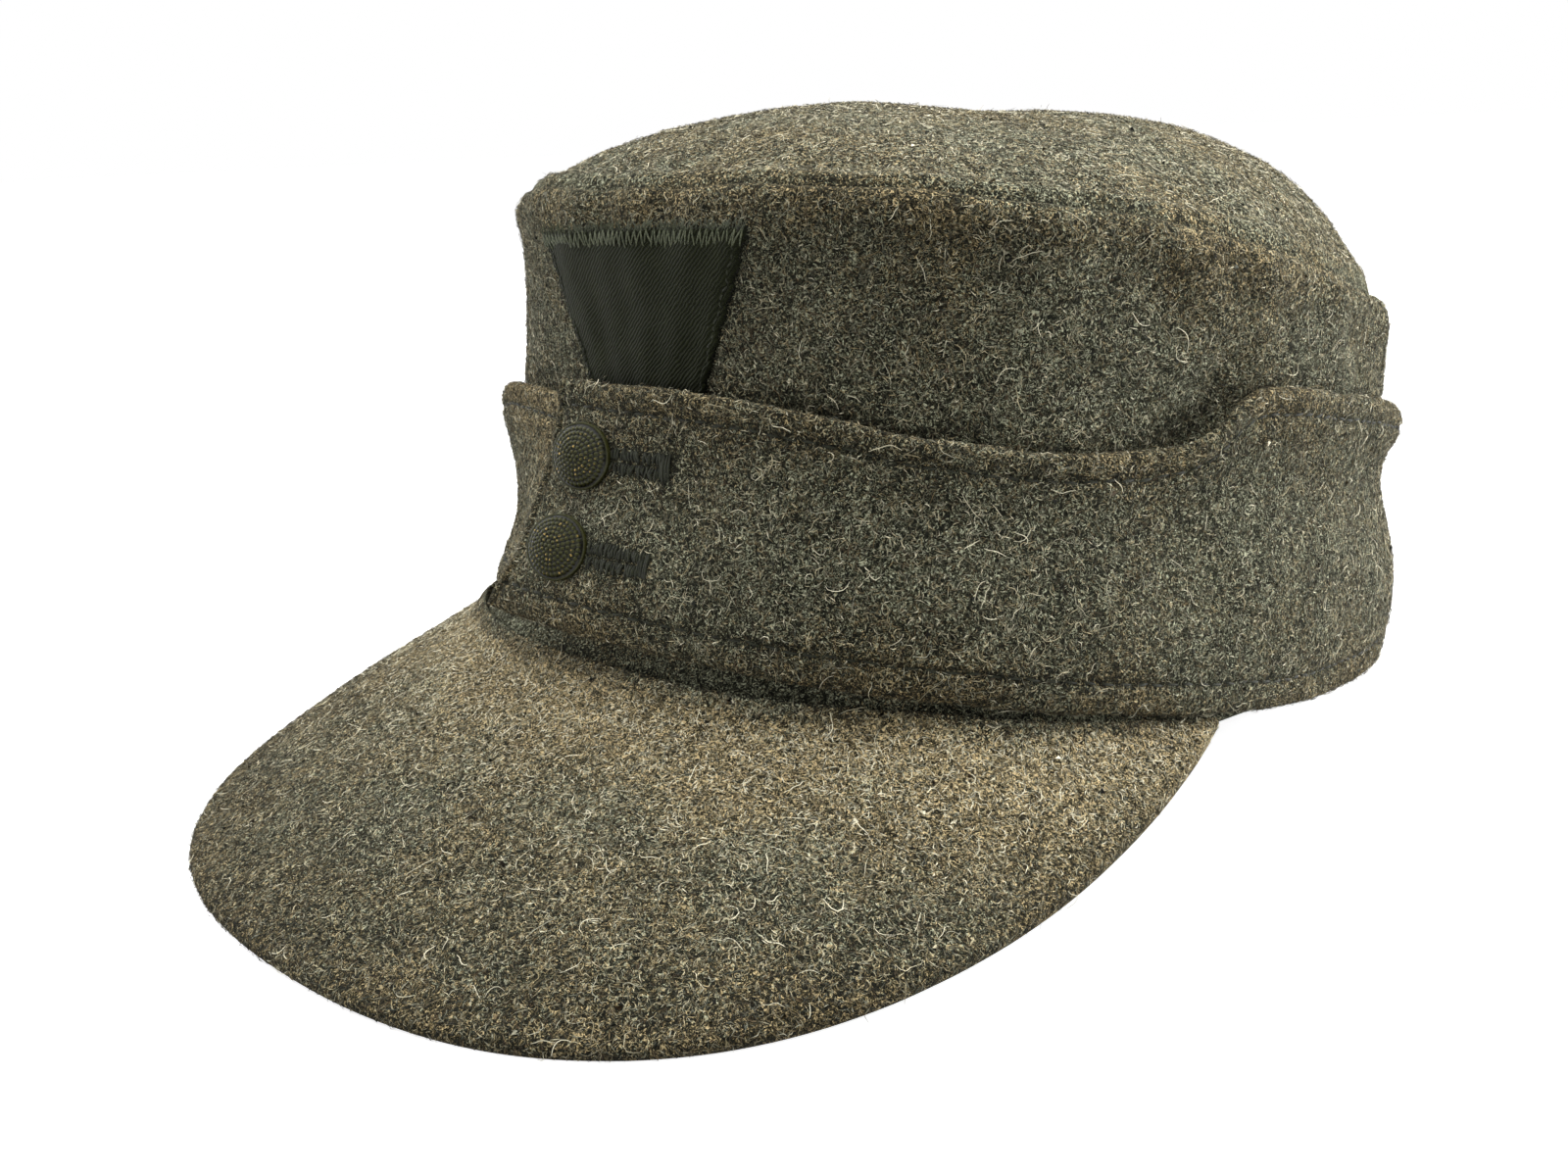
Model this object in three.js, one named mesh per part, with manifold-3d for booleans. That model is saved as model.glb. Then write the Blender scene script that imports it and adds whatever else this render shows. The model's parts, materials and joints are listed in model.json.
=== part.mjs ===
// A wool field cap: domed crown top, upright crown wall, stiffened peak, and a long flap that is
// turned up round the cap and buttons over itself at the front.
// Millimetres and degrees. While the cap is shaped, its rim lies in z = 0, the peak points to -Y and
// the wearer's left is +X. At the end it is set down as it rests: on the edge of its peak and the
// back of its rim.
import * as THREE from 'three';
import { mergeVertices } from 'three/addons/utils/BufferGeometryUtils.js';
import Module from 'manifold-3d';

// The cap's outline at its foot, outside the turned-up flap, seen from above
const foot = { halfWidth: 93.6, front: 104.1, back: 107.8, squareness: 2.15 };

const clothThickness = 2.0;        // crown wall and crown top
const flapThickness = 2.8;         // the turned-up flap is cloth on both sides
const peakThickness = 3.0;         // two layers of cloth over a stiffener
const sewnGap = 0.3;               // between pieces that are sewn to each other
const looseGap = 0.8;              // between layers that only lie on each other

// Angles run round the cap from the front. Tables that change round the cap have one column for
// each of these places, and both sides of the cap are alike.
const places = [
  { place: 'front', angle: 0 },
  { place: 'quarter', angle: 40 },
  { place: 'side', angle: 85 },
  { place: 'corner', angle: 115 },
  { place: 'back', angle: 180 },
];

// Height of the seam between the crown wall and the crown top
const seamHeight = [
  { angle: 0, height: 85.8 },
  { angle: 20, height: 86.6 },
  { angle: 34, height: 86.4 },
  { angle: 46, height: 85.2 },
  { angle: 60, height: 84.3 },
  { angle: 72, height: 81.6 },
  { angle: 84, height: 79.0 },
  { angle: 98, height: 75.8 },
  { angle: 115, height: 73.6 },
  { angle: 145, height: 72.2 },
  { angle: 180, height: 71.8 },
];

// How far the crown wall's outside lies inside the foot outline, at shares of the seam's height
const wallLean = [
  { up: 0.00, front: 3.2, quarter: 3.2, side: 3.2, corner: 3.2, back: 3.2 },
  { up: 0.10, front: 5.5, quarter: 4.6, side: 3.2, corner: 3.2, back: 3.2 },
  { up: 0.30, front: 10.5, quarter: 8.8, side: 5.0, corner: 5.0, back: 5.0 },
  { up: 0.62, front: 15.2, quarter: 10.4, side: 8.0, corner: 7.4, back: 7.4 },
  { up: 0.75, front: 13.4, quarter: 10.4, side: 7.1, corner: 6.4, back: 6.6 },
  { up: 0.86, front: 11.0, quarter: 9.7, side: 6.6, corner: 6.4, back: 6.6 },
  { up: 0.95, front: 9.3, quarter: 8.6, side: 6.8, corner: 7.4, back: 7.4 },
  { up: 1.00, front: 9.4, quarter: 8.8, side: 7.9, corner: 8.8, back: 8.6 },
];

// Soft hollows pressed into the crown wall, mostly puckers that hang from the top seam
const wallDents = [
  { angle: 24, up: 0.88, width: 5, height: 0.07, depth: 1.3 },
  { angle: 44, up: 0.86, width: 4, height: 0.09, depth: 1.2 },
  { angle: 62, up: 0.84, width: 6, height: 0.10, depth: 1.6 },
  { angle: 80, up: 0.84, width: 4, height: 0.10, depth: 1.3 },
  { angle: 98, up: 0.86, width: 6, height: 0.09, depth: 1.2 },
  { angle: 128, up: 0.84, width: 7, height: 0.10, depth: 1.4 },
  { angle: 165, up: 0.84, width: 6, height: 0.09, depth: 1.2 },
  { angle: -150, up: 0.85, width: 7, height: 0.10, depth: 1.3 },
  { angle: -112, up: 0.85, width: 6, height: 0.09, depth: 1.4 },
  { angle: -76, up: 0.84, width: 5, height: 0.10, depth: 1.3 },
  { angle: -48, up: 0.86, width: 5, height: 0.08, depth: 1.0 },
];

// The crown top swells from the seam to a summit near the middle. A high fullness keeps the cloth
// level for longer before it drops to the seam.
const summit = { y: -3.8, height: 106.2 };
const topFullness = { front: 3.5, quarter: 2.6, side: 4.2, corner: 4.5, back: 3.75 };

// How far the flap's outside leans in from the foot outline, at shares of the flap's own height
const flapLean = [
  { up: 0.00, front: 0.2, quarter: 0.2, side: 0.2, corner: 0.3, back: 0.2 },
  { up: 0.17, front: 0.1, quarter: -0.2, side: -0.2, corner: -0.1, back: 0.0 },
  { up: 0.35, front: 1.7, quarter: 0.6, side: 0.3, corner: 0.5, back: 0.5 },
  { up: 0.45, front: 3.3, quarter: 1.4, side: 1.1, corner: 1.7, back: 1.5 },
  { up: 0.55, front: 4.9, quarter: 2.5, side: 2.2, corner: 3.3, back: 2.9 },
  { up: 0.65, front: 5.8, quarter: 3.6, side: 3.3, corner: 4.9, back: 4.2 },
  { up: 0.73, front: 6.2, quarter: 4.5, side: 3.7, corner: 5.3, back: 4.8 },
  { up: 0.80, front: 6.3, quarter: 5.0, side: 3.6, corner: 4.5, back: 4.4 },
  { up: 0.87, front: 6.2, quarter: 5.3, side: 3.1, corner: 2.9, back: 3.6 },
  { up: 0.93, front: 6.0, quarter: 5.4, side: 2.8, corner: 2.3, back: 3.2 },
  { up: 1.00, front: 5.8, quarter: 5.5, side: 3.2, corner: 3.4, back: 3.6 },
];

// The flap's top edge dips over the temples and steps up above the ears
const flapTop = [
  { angle: 0, height: 52.5 },
  { angle: 18, height: 51.8 },
  { angle: 28, height: 50.4 },
  { angle: 38, height: 47.8 },
  { angle: 50, height: 46.4 },
  { angle: 61, height: 46.9 },
  { angle: 67, height: 49.8 },
  { angle: 71, height: 55.0 },
  { angle: 75, height: 57.2 },
  { angle: 90, height: 55.8 },
  { angle: 115, height: 52.3 },
  { angle: 180, height: 51.6 },
];
const flapFrontLift = 8.2;         // the buttoned front stands clear of the peak by this much
const flapLiftEnds = 88;           // and comes down to the rim at this angle

// The flap is one strip that overlaps itself at the front. Its under end lies on the wearer's left.
const underEnd = 24;
const underDrop = 3.6;             // the under layer's top edge sits lower, so it stays hidden
const layersPart = { from: -30, to: -78 };
// The over end is stiff: it leaves the cap's curve before the buttons, and its foot corner flares up
const overEnd = { leavesAt: 20, proud: 1.3, cornerFlare: 3.6, cornerLift: 1.6 };
// The edge of the over end, hollow in the middle and reaching out at its foot
const overEdge = [
  { up: 0.00, angle: -14.2 },
  { up: 0.10, angle: -13.6 },
  { up: 0.27, angle: -12.8 },
  { up: 0.45, angle: -13.4 },
  { up: 0.57, angle: -13.6 },
  { up: 0.70, angle: -13.4 },
  { up: 0.87, angle: -13.6 },
  { up: 1.00, angle: -14.4 },
];
// Soft hollows in the flap. The first tucks the under end in below the overlap.
const flapHollows = [
  { turn: -38, up: 0.34, width: 20, height: 0.30, depth: 5.2 },
  { turn: -36, up: 0.92, width: 18, height: 0.22, depth: -1.5 },
  { turn: -262, up: 0.45, width: 9, height: 0.35, depth: 0.9 },
  { turn: -300, up: 0.62, width: 16, height: 0.25, depth: 0.9 },
  { turn: -205, up: 0.4, width: 14, height: 0.3, depth: 1.0 },
  { turn: -128, up: 0.5, width: 12, height: 0.3, depth: 1.1 },
];

// The peak: its length at the middle, where it ends on the rim, and how it droops and fans out
const peak = { length: 70.4, ends: 71.6, fullness: 3.54, roundness: 0.86, droop: 25.4, curl: 3.1, fan: 0.28 };

// The patch on the front of the crown, wider at the top
const patch = {
  middle: -0.5, top: 79.0, bottom: 50.2, topWidth: 53.4, bottomWidth: 29.0, thickness: 0.9, slant: 0.6,
};

// The buttons hang on their shanks and turn a little toward the wearer's left
const buttons = [
  { name: 'upper_button', x: -4.6, height: 39.4, turn: 15 },
  { name: 'lower_button', x: -5.9, height: 23.1, turn: 19 },
];
const button = { radius: 6.0, dome: 2.1, rim: 0.8, stand: 2.0, shankRadius: 1.2 };
const slot = { end: 15.0, height: 0.9, shankClearance: 1.2 };

// Divisions of the meshes
const wallColumns = 72;
const flapStep = 4.8;
const peakColumns = 38;
const topRings = 7;

const radians = THREE.MathUtils.degToRad;
const blend = THREE.MathUtils.lerp;

// Smooth curve through (xs, ys), read at x, with a level or a straight start and finish
function throughPoints(xs, ys, x, endsLevel) {
  const last = xs.length - 1;
  const at = THREE.MathUtils.clamp(x, xs[0], xs[last]);
  let i = 0;
  while (i < last - 1 && at > xs[i + 1]) i += 1;
  const slope = (a, b) => (ys[b] - ys[a]) / (xs[b] - xs[a]);
  const endSlope = endsLevel ? 0 : slope(i, i + 1);
  const startsAt = i > 0 ? slope(i - 1, i + 1) : endSlope;
  const leavesAt = i < last - 1 ? slope(i, i + 2) : endSlope;
  const width = xs[i + 1] - xs[i];
  const t = (at - xs[i]) / width;
  const rise = t * t * (3 - 2 * t);
  return ys[i] * (1 - rise) + ys[i + 1] * rise
    + width * (startsAt * t * (1 - t) * (1 - t) - leavesAt * t * t * (1 - t));
}

const placeAngles = places.map((p) => p.angle);

// Value round the cap of one row that has a column for each place
function roundCap(row, angle) {
  const wrapped = Math.abs(((angle + 540) % 360) - 180);
  return throughPoints(placeAngles, places.map((p) => row[p.place]), wrapped, true);
}

// Value of a table at a share of the height and an angle round the cap
function onSide(table, up, angle) {
  const row = {};
  for (const { place } of places) {
    row[place] = throughPoints(table.map((r) => r.up), table.map((r) => r[place]), up, false);
  }
  return roundCap(row, angle);
}

function readTable(table, key, column, x, endsLevel) {
  return throughPoints(table.map((r) => r[key]), table.map((r) => r[column]), x, endsLevel);
}

// Point on the cap's side: the foot outline, moved in by `lean`, at an angle and a height
function sidePoint(angle, height, lean) {
  const s = Math.sin(radians(angle));
  const c = Math.cos(radians(angle));
  const n = foot.squareness;
  const reach = (Math.abs(s) ** n + Math.abs(c) ** n) ** (-1 / n);
  const depth = (c > 0 ? foot.front : foot.back) - lean;
  return new THREE.Vector3((foot.halfWidth - lean) * reach * s, -depth * reach * c, height);
}

// Eases from 0 to 1 as x goes from `from` to `to`
function ease(x, from, to) {
  return THREE.MathUtils.smoothstep((x - from) / (to - from), 0, 1);
}

function flapFoot(angle) {
  const wrapped = Math.abs(((angle + 540) % 360) - 180);
  return flapFrontLift * Math.max(0, 1 - (wrapped / flapLiftEnds) ** 2) ** 1.5;
}

function flapTopHeight(angle) {
  const wrapped = Math.abs(((angle + 540) % 360) - 180);
  return readTable(flapTop, 'angle', 'height', wrapped, true);
}

function seamHeightAt(angle) {
  const wrapped = Math.abs(((angle + 540) % 360) - 180);
  return readTable(seamHeight, 'angle', 'height', wrapped, true);
}

// How deep the flap's layer lies under the overlap: `turn` runs from the under end round to the over end
function layerDepth(turn) {
  return (flapThickness + looseGap) * (1 - ease(-turn, -layersPart.from, -layersPart.to));
}

// Share of the way from where the over end leaves the cap's curve to its edge
function alongOverEnd(turn) {
  const leaves = overEnd.leavesAt - 360;
  return THREE.MathUtils.clamp((leaves - turn) / (leaves + 360 - overEdge[0].angle), 0, 1);
}

// Lean of the flap's outside. `turn` is the angle round the strip, counted on past the overlap.
function flapLeanAt(turn, up) {
  const along = alongOverEnd(turn);
  let lean = onSide(flapLean, up, turn) + layerDepth(turn);
  lean -= overEnd.proud * along ** 1.6 + overEnd.cornerFlare * along ** 2 * (1 - ease(up, 0, 0.35));
  for (const hollow of flapHollows) {
    const across = (turn - hollow.turn) / hollow.width;
    const rise = (up - hollow.up) / hollow.height;
    lean += hollow.depth * Math.exp(-across * across - rise * rise);
  }
  return lean;
}

// Lean of the flap's inner face at a height, under every layer, for the wall to stay behind
function behindFlap(angle, height) {
  const low = flapFoot(angle);
  const high = flapTopHeight(angle);
  const up = THREE.MathUtils.clamp((height - low) / (high - low), 0, 1);
  const wrapped = ((angle + 540) % 360) - 180;
  const under = flapLeanAt(Math.min(wrapped, underEnd), up);
  const alone = wrapped > underEnd ? flapLeanAt(wrapped - 360, up) : under;
  const innermost = blend(under, alone, ease(wrapped, underEnd + 2, underEnd + 14));
  const clearOfIt = Math.max(0, low - height) + 2 * Math.max(0, height - high);
  return innermost + flapThickness - clearOfIt;
}

// The rim dips a little behind the peak, where the peak is sewn to it
function rimHeight(angle) {
  const wrapped = Math.abs(((angle + 540) % 360) - 180);
  return -2.9 * (1 - ease(wrapped, 62, 80));
}

function wallLeanAt(angle, up) {
  let lean = onSide(wallLean, up, angle);
  for (const dent of wallDents) {
    const across = (((angle - dent.angle + 540) % 360) - 180) / dent.width;
    const along = (up - dent.up) / dent.height;
    lean += dent.depth * Math.exp(-across * across - along * along);
  }
  const height = blend(rimHeight(angle), seamHeightAt(angle), up);
  const wrapped = Math.abs(((angle + 540) % 360) - 180);
  const gap = blend(looseGap, sewnGap, ease(wrapped, 74, 84) * (1 - ease(height, 2, 9)));
  return Math.max(lean, behindFlap(angle, height) + gap);
}

function wallPoint(angle, up, depth) {
  const height = blend(rimHeight(angle), seamHeightAt(angle), up);
  return sidePoint(angle, height, wallLeanAt(angle, up) + depth);
}

// Triangles across a section whose points run up one face and come back down the other
function acrossSection(loop) {
  const faces = [];
  let near = 0;
  let far = loop.length - 1;
  while (far - near > 1) {
    if (loop[near + 1].distanceTo(loop[far]) < loop[far - 1].distanceTo(loop[near])) {
      faces.push(near, near + 1, far);
      near += 1;
    } else {
      faces.push(near, far - 1, far);
      far -= 1;
    }
  }
  return faces;
}

// Closed mesh from loops of points, one loop a section. The last section joins the first, or both
// are closed across.
function meshFromLoops(loops, joined) {
  const count = loops[0].length;
  const positions = [];
  for (const loop of loops) {
    for (const p of loop) positions.push(p.x, p.y, p.z);
  }
  const index = [];
  const sections = joined ? loops.length : loops.length - 1;
  for (let i = 0; i < sections; i += 1) {
    const a = i * count;
    const b = ((i + 1) % loops.length) * count;
    for (let j = 0; j < count; j += 1) {
      const k = (j + 1) % count;
      index.push(a + j, b + j, b + k, a + j, b + k, a + k);
    }
  }
  if (!joined) {
    const finish = loops.length - 1;
    index.push(...acrossSection(loops[0]));
    index.push(...acrossSection(loops[finish]).map((k) => finish * count + k).reverse());
  }
  const geometry = new THREE.BufferGeometry();
  geometry.setAttribute('position', new THREE.Float32BufferAttribute(positions, 3));
  geometry.setIndex(index);
  return geometry;
}

// The crown wall: a ring of sections, each up the outside and down the inside
function crownWallGeometry() {
  const ups = [0, 0.05, 0.09, 0.14, 0.22, 0.34, 0.46, 0.56, 0.63, 0.69, 0.75, 0.8, 0.85, 0.9, 0.95, 0.98, 1];
  const innerUps = [1, 0.95, 0.87, 0.75, 0.56, 0.34, 0.12, 0];
  const loops = [];
  for (let i = 0; i < wallColumns; i += 1) {
    const angle = (360 * i) / wallColumns;
    const outside = ups.map((up) => wallPoint(angle, up, 0));
    const inside = innerUps.map((up) => wallPoint(angle, up, clothThickness));
    loops.push([...outside, ...inside]);
  }
  return meshFromLoops(loops, true);
}

// The crown top: a shallow dome of cloth with its edge on the wall's top edge
function crownTopPoint(angle, share, depth) {
  const wallTop = wallPoint(angle, 1, depth * 1.2);
  const height = summit.height - depth;
  const drop = share ** roundCap(topFullness, angle);
  return new THREE.Vector3(
    wallTop.x * share,
    blend(summit.y, wallTop.y, share),
    blend(height, wallTop.z + sewnGap, drop),
  );
}

function crownTopGeometry() {
  const columns = wallColumns;
  const positions = [];
  const rings = [];
  for (const depth of [0, clothThickness]) {
    for (let r = 0; r <= topRings; r += 1) {
      const share = Math.sin((Math.PI / 2) * (r / topRings)) ** 0.9;
      const ring = [];
      for (let i = 0; i < (r === 0 ? 1 : columns); i += 1) {
        const p = crownTopPoint((360 * i) / columns, share, depth);
        ring.push(positions.length / 3);
        positions.push(p.x, p.y, p.z);
      }
      rings.push(ring);
    }
  }
  const index = [];
  const face = (flip, ...corners) => index.push(...(flip ? corners.reverse() : corners));
  const strip = (inner, outer, flip) => {
    for (let i = 0; i < columns; i += 1) {
      const j = (i + 1) % columns;
      if (inner.length === 1) {
        face(flip, inner[0], outer[i], outer[j]);
      } else {
        face(flip, inner[i], outer[i], outer[j]);
        face(flip, inner[i], outer[j], inner[j]);
      }
    }
  };
  for (let r = 0; r < topRings; r += 1) {
    strip(rings[r], rings[r + 1], false);
    strip(rings[topRings + 1 + r], rings[topRings + 2 + r], true);
  }
  strip(rings[topRings], rings[2 * topRings + 1], false);
  const geometry = new THREE.BufferGeometry();
  geometry.setAttribute('position', new THREE.Float32BufferAttribute(positions, 3));
  geometry.setIndex(index);
  return geometry;
}

// A point of the flap: `turn` runs from the under end past the back to the over end
function flapPoint(turn, up, depth) {
  const along = alongOverEnd(turn);
  const edge = readTable(overEdge, 'up', 'angle', up, false);
  const shaped = turn + (edge - overEdge[0].angle) * along;
  const low = flapFoot(shaped) + overEnd.cornerLift * along ** 2;
  const full = flapTopHeight(shaped);
  const high = full - underDrop * (1 - ease(-turn, 8, 34));
  const height = blend(low, high, up);
  return sidePoint(shaped, height, flapLeanAt(shaped, (height - low) / (full - low)) + depth);
}

function flapGeometry() {
  const ups = [0.03, 0.14, 0.28, 0.4, 0.51, 0.61, 0.7, 0.79, 0.87, 0.93, 0.975];
  const innerUps = [0.975, 0.9, 0.81, 0.7, 0.59, 0.47, 0.34, 0.18, 0.03];
  const start = underEnd;
  const finish = -360 + overEdge[0].angle;
  const steps = Math.round((start - finish) / flapStep);
  const loops = [];
  for (let i = 0; i <= steps; i += 1) {
    const turn = blend(start, finish, i / steps);
    const outside = ups.map((up) => flapPoint(turn, up, 0));
    const inside = innerUps.map((up) => flapPoint(turn, up, flapThickness));
    const shy = flapThickness * 0.25;
    const foldEdge = [flapPoint(turn, 0, flapThickness - shy), flapPoint(turn, 0, shy)];
    const topEdge = [flapPoint(turn, 1, shy), flapPoint(turn, 1, flapThickness - shy)];
    loops.push([foldEdge[1], ...outside, topEdge[0], topEdge[1], ...inside, foldEdge[0]]);
  }
  return meshFromLoops(loops.reverse(), false);
}

// A point of the peak: `across` from -1 to 1 along the rim, `out` from the rim to the free edge
function peakPoint(across, out, side) {
  const angle = across * peak.ends;
  const wall = rimLeanBehindPeak(angle) - sewnGap;
  const root = sidePoint(angle, 0.6, wall);
  const length = Math.max(peak.length * (1 - Math.abs(across) ** peak.fullness) ** peak.roundness, 1.5);
  const heading = radians(peak.fan * angle);
  const droop = radians(peak.droop + peak.curl * out);
  const away = new THREE.Vector3(
    Math.sin(heading) * Math.cos(droop), -Math.cos(heading) * Math.cos(droop), -Math.sin(droop));
  const top = root.addScaledVector(away, length * out);
  const normal = new THREE.Vector3(
    Math.sin(heading) * Math.sin(droop), -Math.cos(heading) * Math.sin(droop), Math.cos(droop));
  const under = new THREE.Vector3(0, 0, 1).lerp(normal, ease(out, 0, 0.2));
  return top.addScaledVector(under, -peakThickness * side);
}

function rimLeanBehindPeak(angle) {
  return Math.min(wallLeanAt(angle, 0), wallLeanAt(angle, 0.03));
}

function peakGeometry() {
  const outs = [0, 0.12, 0.3, 0.5, 0.7, 0.86, 0.98];
  const loops = [];
  for (let i = 0; i <= peakColumns; i += 1) {
    const across = Math.sin((Math.PI / 2) * blend(-1, 1, i / peakColumns) * 0.98) / Math.sin(Math.PI * 0.49);
    const above = outs.map((out) => peakPoint(across, out, 0));
    const below = outs.map((out) => peakPoint(across, out, 1)).reverse();
    const edge = [peakPoint(across, 1, 0.25), peakPoint(across, 1, 0.75)];
    loops.push([...above, ...edge, ...below]);
  }
  return meshFromLoops(loops.reverse(), false);
}

// The angle round the cap at which a point of the wall at some height has a wanted x
function angleAtX(x, leanAt) {
  let angle = 0;
  for (let pass = 0; pass < 6; pass += 1) {
    angle += ((x - sidePoint(angle, 0, leanAt(angle)).x) / foot.halfWidth) * (180 / Math.PI);
  }
  return angle;
}

// Outside of a surface of the cap at (x, height) and the way it faces there
function facing(pointAt, x, height) {
  const step = 0.5;
  const middle = pointAt(x, height);
  const along = pointAt(x + step, height).sub(pointAt(x - step, height));
  const upward = pointAt(x, height + step).sub(pointAt(x, height - step));
  return { middle, normal: along.cross(upward).normalize() };
}

function frontOfWall(x, height) {
  const leanAt = (angle) => {
    const low = rimHeight(angle);
    return wallLeanAt(angle, (height - low) / (seamHeightAt(angle) - low));
  };
  const angle = angleAtX(x, leanAt);
  return sidePoint(angle, height, leanAt(angle));
}

function frontOfFlap(x, height) {
  const leanAt = (angle) => {
    const low = flapFoot(angle);
    return flapLeanAt(angle - 360, (height - low) / (flapTopHeight(angle) - low));
  };
  const angle = angleAtX(x, leanAt);
  return sidePoint(angle, height, leanAt(angle));
}

function patchGeometry() {
  const columns = 6;
  const rows = 6;
  const loops = [];
  for (let i = 0; i <= columns; i += 1) {
    const across = blend(-0.5, 0.5, i / columns);
    const outside = [];
    const inside = [];
    for (let j = 0; j <= rows; j += 1) {
      const height = blend(patch.bottom, patch.top + 2 * patch.slant * across, j / rows);
      const x = patch.middle + across * blend(patch.bottomWidth, patch.topWidth, j / rows);
      const { middle, normal } = facing(frontOfWall, x, height);
      outside.push(middle.clone().addScaledVector(normal, sewnGap + patch.thickness));
      inside.push(middle.clone().addScaledVector(normal, sewnGap));
    }
    loops.push([...outside, ...inside.reverse()]);
  }
  return meshFromLoops(loops, false);
}

// A domed button with its shank, turned about its axis, which starts as +Y
function buttonGeometry() {
  const shankLength = button.stand + flapThickness + looseGap - sewnGap;
  const profile = [
    [0, -shankLength],
    [button.shankRadius, -shankLength],
    [button.shankRadius, 0],
    [button.radius - 0.6, 0],
    [button.radius, button.rim * 0.4],
    [button.radius - 0.15, button.rim],
    [button.radius * 0.84, button.rim + button.dome * 0.32],
    [button.radius * 0.6, button.rim + button.dome * 0.7],
    [button.radius * 0.3, button.rim + button.dome * 0.94],
    [0, button.rim + button.dome],
  ].map(([x, y]) => new THREE.Vector2(x, y));
  return new THREE.LatheGeometry(profile, 14);
}

// Cutter for one buttonhole: a round seat for the shank and a narrow slit toward the wearer's left
function buttonholeGeometry(shankX) {
  const seat = button.shankRadius + slot.shankClearance;
  const halfSlit = slot.height / 2;
  const meets = Math.asin(halfSlit / seat);
  const shape = new THREE.Shape();
  shape.moveTo(slot.end - shankX, -halfSlit);
  shape.lineTo(slot.end - shankX, halfSlit);
  shape.absarc(0, 0, seat, meets, 2 * Math.PI - meets, false);
  shape.closePath();
  const depth = flapThickness + looseGap * 0.5 + 3;
  return new THREE.ExtrudeGeometry(shape, { depth, bevelEnabled: false, curveSegments: 8 });
}

// Turns +Z of a cutter, or +Y of a button, to face out of the flap at a button's place
function buttonFrame(place, inward) {
  const { middle, normal } = facing(frontOfFlap, place.x, place.height);
  const across = new THREE.Vector3(1, 0, 0).addScaledVector(normal, -normal.x).normalize();
  const upward = normal.clone().cross(across);
  return {
    origin: middle.clone().addScaledVector(normal, inward),
    across,
    upward,
    normal,
  };
}

const wasm = await Module();
wasm.setup();

function toSolid(geometry) {
  const bare = geometry.clone();
  bare.deleteAttribute('normal');
  bare.deleteAttribute('uv');
  const merged = mergeVertices(bare, 1e-4);
  return new wasm.Manifold(new wasm.Mesh({
    numProp: 3,
    vertProperties: new Float32Array(merged.attributes.position.array),
    triVerts: new Uint32Array(merged.index.array),
  }));
}

function toGeometry(solid) {
  const mesh = solid.getMesh();
  const geometry = new THREE.BufferGeometry();
  geometry.setAttribute('position', new THREE.Float32BufferAttribute(mesh.vertProperties, 3));
  geometry.setIndex(new THREE.Uint32BufferAttribute(mesh.triVerts, 1));
  return geometry;
}

// The flap with its two buttonholes cut through the over layer alone
function slottedFlapGeometry() {
  let flap = toSolid(flapGeometry());
  for (const place of buttons) {
    const { origin, across, upward, normal } = buttonFrame(place, -(flapThickness + looseGap * 0.5));
    const cutter = buttonholeGeometry(place.x);
    cutter.applyMatrix4(new THREE.Matrix4().makeBasis(across, upward, normal).setPosition(origin));
    flap = flap.subtract(toSolid(cutter));
  }
  return toGeometry(flap);
}

// How far the cap has to lean back for the peak's edge and the rim's back to touch one level surface
function restingTilt(points) {
  const front = points.filter((p) => p.y < -foot.front);
  const back = points.filter((p) => p.y > 0);
  const lowest = (set, tilt) => Math.min(...set.map((p) => p.z * Math.cos(tilt) - p.y * Math.sin(tilt)));
  let low = 0;
  let high = radians(20);
  for (let pass = 0; pass < 40; pass += 1) {
    const middle = (low + high) / 2;
    if (lowest(front, middle) < lowest(back, middle)) low = middle;
    else high = middle;
  }
  return low;
}

const wool = new THREE.MeshStandardMaterial({ color: 0x5d5f4c, roughness: 0.95, metalness: 0 });
const twill = new THREE.MeshStandardMaterial({ color: 0x2f3423, roughness: 0.85, metalness: 0 });
const paintedMetal = new THREE.MeshStandardMaterial({ color: 0x454a3a, roughness: 0.55, metalness: 0.3 });

function piece(name, geometry, material) {
  const mesh = new THREE.Mesh(geometry, material);
  mesh.name = name;
  return mesh;
}

const cap = new THREE.Group();
cap.add(
  piece('crown_wall', crownWallGeometry(), wool),
  piece('crown_top', crownTopGeometry(), wool),
  piece('turn_up', slottedFlapGeometry(), wool),
  piece('peak', peakGeometry(), wool),
  piece('front_patch', patchGeometry(), twill),
);
for (const place of buttons) {
  // The shank's foot stays over the button's place, and the head turns about it
  const shankFoot = -(flapThickness + looseGap - sewnGap);
  const { origin, across, upward, normal } = buttonFrame(place, shankFoot);
  const turned = new THREE.Matrix4().makeRotationAxis(upward, radians(place.turn));
  const face = normal.clone().transformDirection(turned);
  const side = across.clone().transformDirection(turned);
  const mesh = piece(place.name, buttonGeometry(), paintedMetal);
  mesh.quaternion.setFromRotationMatrix(new THREE.Matrix4().makeBasis(side, face, upward.clone().negate()));
  mesh.position.copy(origin).addScaledVector(face, button.stand - shankFoot);
  cap.add(mesh);
}

// Set the cap down: lean it back, then put the middle of its base at the origin
const woolPoints = cap.children.filter((mesh) => mesh.material === wool).flatMap((mesh) => {
  const { position } = mesh.geometry.attributes;
  return Array.from({ length: position.count }, (_, i) => new THREE.Vector3().fromBufferAttribute(position, i));
});
cap.rotation.x = -restingTilt(woolPoints);
cap.updateMatrixWorld(true);
const box = new THREE.Box3().setFromObject(cap, true);
cap.position.set(-(box.min.x + box.max.x) / 2, -(box.min.y + box.max.y) / 2, -box.min.z);

export default cap;
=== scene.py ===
import json
import math

import bpy
import numpy as np
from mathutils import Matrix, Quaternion, Vector


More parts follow.
